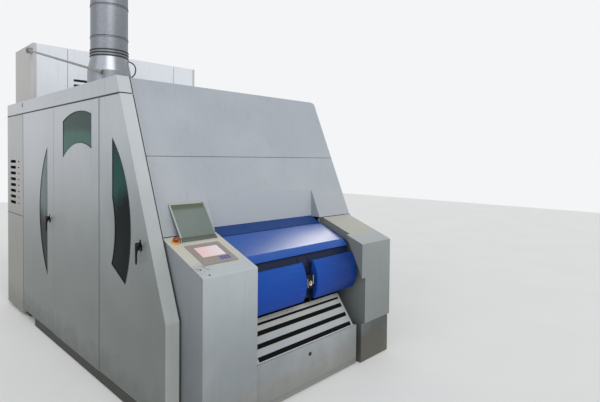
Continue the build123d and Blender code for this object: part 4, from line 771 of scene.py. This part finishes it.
red = Finish("stop_red_plastic", {"Roughness": 0.28, "Coat Weight": 0.3})
red.two_tone(red.step(red.noise(0.012, detail=3.0), 0.45, 0.75), (146, 16, 8), (104, 16, 10))
head_profile = [
    (0, -0.006), (0.0079, -0.006), (0.0079, 0.0163), (0.0150, 0.0166), (0.0188, 0.0182),
    (0.0199, 0.0220), (0.0196, 0.0290), (0.0178, 0.0345), (0.0142, 0.0380), (0.0095, 0.0397),
    (0.0045, 0.0402), (0, 0.0403),
]
shape = bmesh.new()
turned(shape, head_profile, stop_foot, console_up)
stop_head = add_piece("stop_head", shape, red, "stop_button", 50)
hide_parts("stop_button")
dress("stop_red", red)

yellow = Finish("collar_yellow", {"Roughness": 0.4})
yellow.two_tone(yellow.noise(0.02), (226, 178, 40), (196, 140, 36))
collar_profile = [
    (0.0084, 0.0122), (0.0232, 0.0123), (0.0245, 0.0112), (0.0248, 0.0003), (0.0241, 0.0003),
    (0.0241, 0.0120), (0.0084, 0.0120), (0.0084, 0.0122),
]
shape = bmesh.new()
turned(shape, collar_profile, stop_foot, console_up)
add_piece("stop_collar", shape, yellow, "root")

# Screen cover. A smoky see-through sheet in a pale moulded border, hinged behind the panel and
# leaning open against the hood.

smoky = Finish("smoky_acrylic", {"IOR": 1.3, "Transmission Weight": 0.25})
haze = smoky.noise(0.30, detail=3.0)
sheet_colour = smoky.mix(smoky.step(haze, 0.3, 0.75), tone(116, 127, 124), tone(130, 140, 135))
upper_edge = smoky.step(smoky.along("Z"), 1.322, 1.345)
smoky.cover("Base Color", smoky.mix(upper_edge, sheet_colour, tone(102, 108, 92)))
smoky.cover("Roughness", 0.30 + haze * 0.10)
dress("flap_acrylic", smoky)

flap_joints = [joint for joint in frame["joints"] if joint["name"] == "screen_flap_hinge"]
flap_axis = Vector(flap_joints[0]["pos_m"])
flap_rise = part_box("screen_flap")[1].z - flap_axis.z
flap_reach = 0.288
flap_half = 0.0025
flap_left, flap_right = -0.840, -0.566
border_width, border_foot, border_head = 0.011, 0.022, 0.012
flap_lean = radians(53.5)
for _ in range(6):
    flap_lean = atan2(flap_rise - flap_half * cos(flap_lean), flap_reach * cos(flap_lean))


def on_flap(x, along, above):
    """Point on the open cover: x, distance up it from its hinge, height above its middle."""
    y = along * cos(flap_lean) - above * sin(flap_lean)
    z = along * sin(flap_lean) + above * cos(flap_lean)
    return Vector((x, flap_axis.y + y, flap_axis.z + z))


border = Finish("border_plastic", {"Roughness": 0.38})
border_colour = border.mix(border.noise(0.04, detail=4.0), tone(166, 176, 170), tone(150, 160, 154))
# Painted shade on the border's right edge.
shaded = border.step(border.along("X"), -0.590, -0.574)
border.cover("Base Color", border.mix(shaded, border_colour, tone(108, 122, 108)))
shape = bmesh.new()
outer = rounded(flap_left, flap_right, 0.0005, flap_reach - 0.0005, 0.014, 6)
window_left, window_right = flap_left + border_width, flap_right - border_width
inner = rounded(window_left, window_right, border_foot, flap_reach - border_head, 0.005, 6)
frame_strip(shape, outer, inner, flap_half + 0.0001, flap_half + 0.0016, on_flap)
add_piece("flap_border", shape, border, "screen_flap")

hinge_plastic = Finish("hinge_plastic", {"Roughness": 0.45})
hinge_plastic.two_tone(hinge_plastic.noise(0.03), (62, 68, 58), (84, 92, 80))
bar_outline = rectangle(flap_left + 0.001, flap_right - 0.001, 0.001, 0.023)
shape = bmesh.new()
prism(shape, bar_outline, flap_half + 0.0002, flap_half + 0.0026, on_flap)
add_piece("flap_hinge_bar", shape, hinge_plastic, "screen_flap")

# Blue covers. Lid and the two bulged web covers are bent sheet under a strong blue satin coat,
# clouded and wiped in streaks, with painted shade darkening the right web cover.

blue = Finish("blue_coat", {"Coat Roughness": 0.30, "Specular IOR Level": 0.12})
blue_clouds = blue.noise(0.25, detail=4.0)
wipes = blue.step(blue.noise(0.02, (9, 1, 1), 4.0, 4.0), 0.50, 0.80)
blue_height = blue.along("Z")
blue_base = blue.mix(blue.step(blue_height, 0.60, 1.10), tone(15, 62, 154), tone(30, 80, 160))
blue_base = blue.mix(wipes * 0.10, blue_base, tone(96, 124, 176))
blue_base = blue.mix(blue.step(blue_clouds, 0.45, 0.75) * 0.15, blue_base, tone(16, 42, 112))
# Painted shade on the lower right, the right web cover.
right_cover_painted_shade = blue.step(blue.along("X"), 0.10, 0.58) * blue.step(blue_height, 0.96, 0.90)
blue.cover("Base Color", blue.mix(right_cover_painted_shade * 0.75, blue_base, tone(10, 34, 88)))
blue.cover("Roughness", 0.28 + blue_clouds * 0.10)
blue.cover("Coat Weight", blue.step(blue_height, 0.95, 1.02) * 0.32 + 0.04)
blue.relief(blue.noise(0.0020, detail=1.0) * 0.25 + blue.noise(0.5, detail=1.0) * 5.0, 0.0004)
dress("blue_paint", blue)

# Web housing and trumpet. The coated sheet that carries the covers' pivots is blue on its rear
# strip and near black below, a painted shadow under the lid's lip. A dark channel with an end
# plate runs beside the lid, dark as painted shade of the gap there. The black block in the slot
# holds a bright funnel that gathers the web, with two sprung fingers beside it.

dark = sheet_coat("dark_coat", (74, 79, 80), (62, 66, 66), (104, 98, 86), 0.45, 0.1, 0.9)
dress("dark_foot", dark)

strip_blue = Finish("strip_blue", {"Specular IOR Level": 0.22})
strip_clouds = strip_blue.noise(0.12, (2, 1, 1), 4.0)
strip_high = strip_blue.mix(strip_clouds, tone(16, 52, 110), tone(28, 64, 124))
# Below the lid's lip the strip is near black: a painted shadow.
strip_low = strip_blue.mix(strip_clouds, tone(12, 22, 48), tone(20, 32, 62))
on_strip = strip_blue.step(strip_blue.along("Z"), 1.108, 1.116)
strip_blue.cover("Base Color", strip_blue.mix(on_strip, strip_low, strip_high))
strip_blue.cover("Roughness", 0.38 + strip_clouds * 0.12)
paint(frame["nodes"]["web_housing"].data, strip_blue)


def across_place(y, z, x):
    """Turns (y from the casing's datum, height) at a distance across into a point."""
    return Vector((x, datum + y, z))


# The channel beside the lid is dark as painted shade of the gap there.
channel = [
    (0.186, 1.1105), (-0.058, 1.0105), (-0.090, 0.9805), (-0.090, 0.962), (-0.058, 0.992),
    (0.186, 1.091),
]
channel_lip = [(0.2080, 1.1215), (0.3130, 1.1740), (0.3130, 1.1715), (0.2080, 1.1190)]
shape = bmesh.new()
prism(shape, channel, 0.5985, 0.6150, across_place)
prism(shape, channel_lip, 0.5940, 0.6025, across_place)
add_piece("lid_channel", shape, strip_blue, "root")
# Dark plate closing the channel's end: painted shade.
shape = bmesh.new()
prism(shape, rectangle(0.2040, 0.2055, 1.070, 1.156), 0.6070, 0.6470, across_place)
add_piece("channel_end", shape, dark, "root")

bright = Finish("bright_steel", {"Metallic": 1.0})
bright.two_tone(bright.noise(0.03), (206, 206, 204), (178, 177, 174))
bright.cover("Roughness", 0.16 + bright.noise(0.004, (6, 1, 1), 3.0) * 0.2)

burnished = Finish("burnished_lock", {"Metallic": 0.6})
burnished.two_tone(burnished.noise(0.008), (34, 34, 34), (58, 57, 55))
burnished.cover("Roughness", 0.40 + burnished.noise(0.004) * 0.15)
dress("lock_chrome", burnished)

trumpet_low, trumpet_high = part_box("trumpet_block")
trumpet_x = 0.060
finger_aside, finger_ahead, finger_rise, finger_lean = 0.029, 0.006, 0.010, 0.05
trumpet_z = (trumpet_low.z + trumpet_high.z) / 2
funnel_profile = [
    (0.0052, 0.030), (0.0052, 0.006), (0.0090, -0.004), (0.0170, -0.0085), (0.0185, -0.0080),
    (0.0185, -0.0060), (0.0135, 0.0040), (0.0135, 0.030), (0.0052, 0.030),
]
finger_profile = [
    (0, -0.018), (0.0030, -0.018), (0.0035, -0.014), (0.0035, 0.040), (0.0050, 0.041),
    (0.0050, 0.047), (0, 0.047),
]
shape = bmesh.new()
turned(shape, funnel_profile, (trumpet_x, trumpet_low.y, trumpet_z), (0, 1, 0))
for side in (-1, 1):
    finger_x, finger_z = trumpet_x + side * finger_aside, trumpet_z + side * finger_rise
    finger_place = (finger_x, trumpet_low.y - finger_ahead, finger_z)
    turned(shape, finger_profile, finger_place, (side * finger_lean, finger_lean, 1), 16)
add_piece("trumpet_funnel", shape, bright, "root")

# Small screws. One rule makes every row: a domed head with a round socket, repeated along a
# line. Nothing of the rule stays on the meshes that it makes.

zinc = Finish("zinc_plate", {"Metallic": 0.9})
zinc_clouds = zinc.noise(0.05, detail=4.0)
zinc.two_tone(zinc_clouds, (150, 151, 150), (124, 123, 119))
zinc.cover("Roughness", 0.34 + zinc_clouds * 0.16)
dress("zinc_steel", zinc)

head_radius, head_height = 0.0045, 0.0022
head_points = ((0, -0.1), (1, -0.1), (1, 0.25), (0.86, 0.7), (0.45, 1), (0.28, 0.45), (0, 0.45))
head_profile = [(head_radius * wide, head_height * tall) for wide, tall in head_points]
shape = bmesh.new()
turned(shape, head_profile, (0, 0, 0), (0, 0, 1), 12)
small_head = show("small_head", closed_mesh("small_head", shape, 40))

screw_tree = bpy.data.node_groups.new("screw_row", "GeometryNodeTree")
for name, kind in (
    ("Head", "Object"), ("Count", "Int"), ("Start", "Vector"), ("End", "Vector"),
    ("Turn", "Rotation"), ("Finish", "Material"),
):
    screw_tree.interface.new_socket(name, in_out="INPUT", socket_type="NodeSocket" + kind)
screw_tree.interface.new_socket("Geometry", in_out="OUTPUT", socket_type="NodeSocketGeometry")
given, result, line, head, spread, realize, coat = (
    screw_tree.nodes.new(kind)
    for kind in (
        "NodeGroupInput", "NodeGroupOutput", "GeometryNodeMeshLine", "GeometryNodeObjectInfo",
        "GeometryNodeInstanceOnPoints", "GeometryNodeRealizeInstances", "GeometryNodeSetMaterial",
    )
)
line.mode = "END_POINTS"
for first, output, second, entry in (
    (given, "Count", line, "Count"),
    (given, "Start", line, "Start Location"),
    (given, "End", line, "Offset"),
    (given, "Head", head, "Object"),
    (line, "Mesh", spread, "Points"),
    (head, "Geometry", spread, "Instance"),
    (given, "Turn", spread, "Rotation"),
    (spread, "Instances", realize, "Geometry"),
    (realize, "Geometry", coat, "Geometry"),
    (given, "Finish", coat, "Material"),
    (coat, "Geometry", result, "Geometry"),
):
    screw_tree.links.new(first.outputs[output], second.inputs[entry])


def screw_row(name, count, start, end, facing):
    """Row of screws from one point to another, whose heads face a direction."""
    turn_to = Vector(facing).normalized().to_track_quat("Z", "Y").to_euler()
    values = {"Head": small_head, "Count": count, "Start": Vector(start), "End": Vector(end)}
    values |= {"Turn": turn_to, "Finish": zinc.material}
    seed = show(name + "_seed", bpy.data.meshes.new(name))
    modifier = seed.modifiers.new("rule", "NODES")
    modifier.node_group = screw_tree
    for item in screw_tree.interface.items_tree:
        if item.in_out == "INPUT":
            modifier[item.identifier] = values[item.name]
    graph = bpy.context.evaluated_depsgraph_get()
    graph.update()
    mesh = bpy.data.meshes.new_from_object(seed.evaluated_get(graph), depsgraph=graph)
    seed.modifiers.clear()
    bpy.data.objects.remove(seed)
    mesh.name = name
    place_piece(name, mesh, zinc, "root")


# Louvre panel. Its top strip is held by a row of screws along the sheet's upper edge, and a
# black sheet behind the slots is painted shade of the machine's dark inside.

louvre_low, louvre_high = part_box("louvre_panel")
louvre_lean = radians(36.9)
louvre_foot = Vector((0, datum - 0.240, 0.340))
louvre_up = Vector((0, sin(louvre_lean), cos(louvre_lean)))
louvre_out = Vector((0, -cos(louvre_lean), sin(louvre_lean)))


def on_louvre(x, along, above):
    """Point on the louvre panel: x, distance up it, height above its sheet."""
    return louvre_foot + louvre_up * along + louvre_out * above + Vector((x, 0, 0))


# Painted shade: a black sheet behind the slots.
slot_shade = Finish("painted_slot_shade", {"Roughness": 0.9, "Specular IOR Level": 0.1})
slot_shade.two_tone(slot_shade.noise(0.01, detail=5.0), (8, 8, 8), (20, 19, 18))
slot_shade_gap, slot_shade_length, slot_shade_depths = 0.004, 0.281, (-0.0105, -0.0085)
slot_shade_left, slot_shade_right = louvre_low.x + slot_shade_gap, louvre_high.x - slot_shade_gap
shape = bmesh.new()
prism(shape, rectangle(slot_shade_left, slot_shade_right, slot_shade_gap, slot_shade_length), *slot_shade_depths, on_louvre)
add_piece("louvre_filter", shape, slot_shade, "root")
row_along = 0.270
row_ends = [on_louvre(x, row_along, 0) for x in (-0.450, 0.490)]
screw_row("louvre_screws", 6, *row_ends, louvre_out)

# Feed tower. Near-white sheet box on the rear of the roof, darker on its flanks by painted shade,
# with cover strips down its corners, filled seams, and a single screw beside the low slots.

tower = sheet_coat("tower_coat", (226, 229, 236), (216, 219, 224), (160, 156, 150), 0.40, 2.2, 2.8)
# Painted shade on the flanks.
flank_painted_shade = tower.step(abs(tower.facing("X")), 0.5, 0.8)
tower_colour = tower.mix(flank_painted_shade * 0.85, tower.so_far(), tone(166, 162, 157))
tower.cover("Base Color", tower_colour)
dress("tower_paint", tower)

tower_low, tower_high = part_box("tower_casing")
tower_foot, tower_roof = 2.264, 2.895
strip_thick = 0.0015
strip_across = 0.032
strip_deep = 0.060
strip_sunk = 0.0002
front, sunk_front = tower_low.y - strip_thick, tower_low.y + strip_sunk
strips = [
    (tower_low.x, tower_low.x + strip_across, front, sunk_front),
    (tower_high.x - strip_across, tower_high.x, front, sunk_front),
    (tower_low.x - strip_thick, tower_low.x + strip_sunk, tower_low.y, tower_low.y + strip_deep),
    (tower_high.x - strip_sunk, tower_high.x + strip_thick, tower_low.y, tower_low.y + strip_deep),
]
shape = bmesh.new()
for strip in strips:
    prism(shape, rectangle(*strip), tower_foot, tower_roof, as_is)
strip_coat = sheet_coat(
    "strip_coat", (190, 190, 190), (178, 178, 176), (150, 146, 140), 0.45, 2.2, 2.8
)
add_piece("tower_corner_strips", shape, strip_coat, "root")
screw_row("tower_screw", 1, (-0.521, tower_low.y - 0.0001, 2.499), (0, 0, 0), (0, -1, 0))
seam_half = 0.0019
shape = bmesh.new()
for seam_x in (-0.596, 0.719):
    seam = (seam_x - seam_half, seam_x + seam_half, tower_low.y + 0.0001, tower_low.y + 0.0016)
    prism(shape, rectangle(*seam), 2.266, 2.880, as_is)
add_piece("tower_seam_filler", shape, rubber, "root")

# Roof duct. Spangled zinc sheet: a cone on a collar, three clamp rings where the pipe goes on,
# lap joints round the pipe, a locked seam up its side and a strap handle.

duct_zinc = Finish("spangled_zinc", {"Metallic": 0.85})
spangle_size = 0.014
cells = duct_zinc.node(
    "ShaderNodeTexVoronoi", {}, {"Vector": duct_zinc.here, "Scale": 1 / spangle_size}, "Color"
)
spangle = duct_zinc.node("ShaderNodeSeparateColor", {}, {0: cells})
duct_clouds = duct_zinc.noise(0.3, (1, 1, 2.5), 4.0)
patches = spangle * 0.25 + duct_clouds * 0.75
duct_colour = duct_zinc.mix(patches, tone(110, 114, 120), tone(146, 150, 157))
# The cone's lighter colour is a painted highlight; it is also smoother.
on_cone = duct_zinc.step(duct_zinc.along("Z"), 2.54, 2.52)
duct_zinc.cover("Base Color", duct_zinc.mix(on_cone * 0.15, duct_colour, tone(196, 198, 204)))
duct_zinc.cover("Roughness", 0.34 + spangle * 0.05 + duct_clouds * 0.08 - on_cone * 0.08)
dress("galvanised", duct_zinc)

clamp_steel = Finish("clamp_steel", {"Metallic": 0.7})
clamp_steel.two_tone(clamp_steel.noise(0.02, detail=4.0), (40, 40, 40), (74, 73, 70))
clamp_steel.cover("Roughness", 0.42 + clamp_steel.noise(0.01) * 0.2)

duct_axis = Vector((-0.756, datum + 1.440, 0))
pipe_radius = 0.150
for name, heights, clearance, half_height, thickness, finish, smooth_below in (
    ("duct_clamps", (2.538, 2.562, 2.586), 0.0002, 0.0055, 0.0060, clamp_steel, 50),
    ("duct_laps", (2.6925, 2.9575), 0.0001, 0.0035, 0.0042, duct_zinc, 60),
    ("duct_lap_seals", (2.7000, 2.9650), 0.0001, 0.0030, 0.0028, clamp_steel, 60),
):
    radius = pipe_radius + clearance
    ring_points = (
        (0, -1), (0.6 * thickness, -1), (thickness, -0.5), (thickness, 0.5), (0.6 * thickness, 1),
        (0, 1), (0, -1),
    )
    shape = bmesh.new()
    for z in heights:
        profile = [(radius + out, z + level * half_height) for out, level in ring_points]
        turned(shape, profile, duct_axis, (0, 0, 1), 64)
    add_piece(name, shape, finish, "root", smooth_below)

seam_angle = radians(-38)
seam_out = Vector((cos(seam_angle), sin(seam_angle), 0))
seam_across = Vector((-sin(seam_angle), cos(seam_angle), 0))
seam_foot = duct_axis + seam_out * (pipe_radius - 0.0004)
seam_outline = [(-0.006, 0), (0.006, 0), (0.004, 0.0024), (-0.004, 0.0024)]


def seam_place(a, b, z):
    return seam_foot + seam_across * a + seam_out * b + Vector((0, 0, z))


shape = bmesh.new()
for z_from, z_to in ((2.594, 2.686), (2.704, 2.951), (2.969, 3.058)):
    prism(shape, seam_outline, z_from, z_to, seam_place)
add_piece("duct_seam", shape, duct_zinc, "root")

strap_angle = radians(-30)
strap_out = Vector((cos(strap_angle), sin(strap_angle), 0))
strap_line = [
    (0.1515, 2.520), (0.178, 2.512), (0.203, 2.492), (0.214, 2.462), (0.212, 2.430),
    (0.200, 2.400), (0.1755, 2.378),
]
curve = bpy.data.curves.new("duct_strap", "CURVE")
curve.dimensions = "3D"
spline = curve.splines.new("NURBS")
spline.points.add(len(strap_line) - 1)
for point, (out, z) in zip(spline.points, strap_line):
    point.co = (*(duct_axis + strap_out * out + Vector((0, 0, z))), 1)
spline.order_u = 3
spline.use_endpoint_u = True
spline.resolution_u = 6
curve.bevel_depth = 0.0055
curve.bevel_resolution = 3
curve.use_fill_caps = True
curve_object = show("strap_curve", curve)
bpy.context.view_layer.update()
strap_mesh = bpy.data.meshes.new_from_object(curve_object)
bpy.data.objects.remove(curve_object)
for polygon in strap_mesh.polygons:
    polygon.use_smooth = True
place_piece("duct_strap", strap_mesh, clamp_steel, "root")

# Stay rod. Round zinc-plated bar from a lug on the roof to a bracket on the tower's side, with
# a nut and washer at each end.

stay_x = -0.988
foot_point = Vector((stay_x, datum + 0.985, 2.326))
head_point = Vector((stay_x, datum + 2.962, 2.815))
along_rod = (head_point - foot_point).normalized()


def sleeve(inside, outside, low, high):
    """Profile of a ring about the rod."""
    return [(inside, low), (outside, low), (outside, high), (inside, high), (inside, low)]


rod_bore, washer_radius, nut_radius = 0.0101, 0.020, 0.0165
from_foot, from_head = 0.020, 0.040
shape = bmesh.new()
for point, side in (
    (foot_point + along_rod * from_foot, 1), (head_point - along_rod * from_head, -1)
):
    turned(shape, sleeve(rod_bore, washer_radius, -0.002, 0.001), point, along_rod, 24)
    turned(shape, sleeve(rod_bore, nut_radius, 0.001, 0.014), point, along_rod * side, 6)
add_piece("stay_nuts", shape, zinc, "root")

# Frame, side frames, motor and belt. Hidden working parts: steel sections under a dark primer,
# castings under a grey-green coat, an enamelled motor, and a belt of black rubber.

for slot_name, name, first, second, gloss in (
    ("frame_paint", "frame_primer", (40, 40, 38), (56, 56, 53), 0.6),
    ("cast_frame", "casting_coat", (104, 112, 112), (122, 130, 128), 0.5),
    ("motor_paint", "motor_enamel", (66, 84, 106), (80, 98, 120), 0.35),
    ("belt_rubber", "belt_cover", (34, 34, 34), (52, 50, 48), 0.7),
):
    coat = Finish(name, {})
    lint = coat.noise(0.06, detail=5.0)
    coat.two_tone(lint, first, second)
    coat.cover("Roughness", gloss + lint * 0.15)
    coat.relief(coat.noise(0.004, detail=3.0), 0.0003 if slot_name == "cast_frame" else 0.0001)
    dress(slot_name, coat)

# Rolls and flats. The barrels are wound with saw-tooth wire, which shows as fine rings, and the
# flats are plain drawn bars.

clothing = Finish("wire_clothing", {"Metallic": 0.9})
windings = clothing.node(
    "ShaderNodeTexWave",
    {"wave_type": "BANDS", "bands_direction": "X"},
    {"Vector": clothing.here, "Scale": 120.0, "Distortion": 0.0},
    "Fac",
)
fibre = clothing.noise(0.02, (3, 1, 1), 4.0)
clothing.two_tone(fibre, (120, 122, 124), (156, 157, 158))
clothing.cover("Roughness", 0.36 + fibre * 0.2)
clothing.relief(windings, 0.0004)
dress("roll_steel", clothing)

drawn = Finish("drawn_aluminium", {"Metallic": 0.95})
drawn_lines = drawn.noise(0.0016, (60, 1, 1), 2.0)
drawn.two_tone(drawn_lines, (176, 177, 179), (196, 197, 199))
drawn.cover("Roughness", 0.32 + drawn_lines * 0.14)
dress("aluminium", drawn)

bpy.data.objects.remove(small_head)
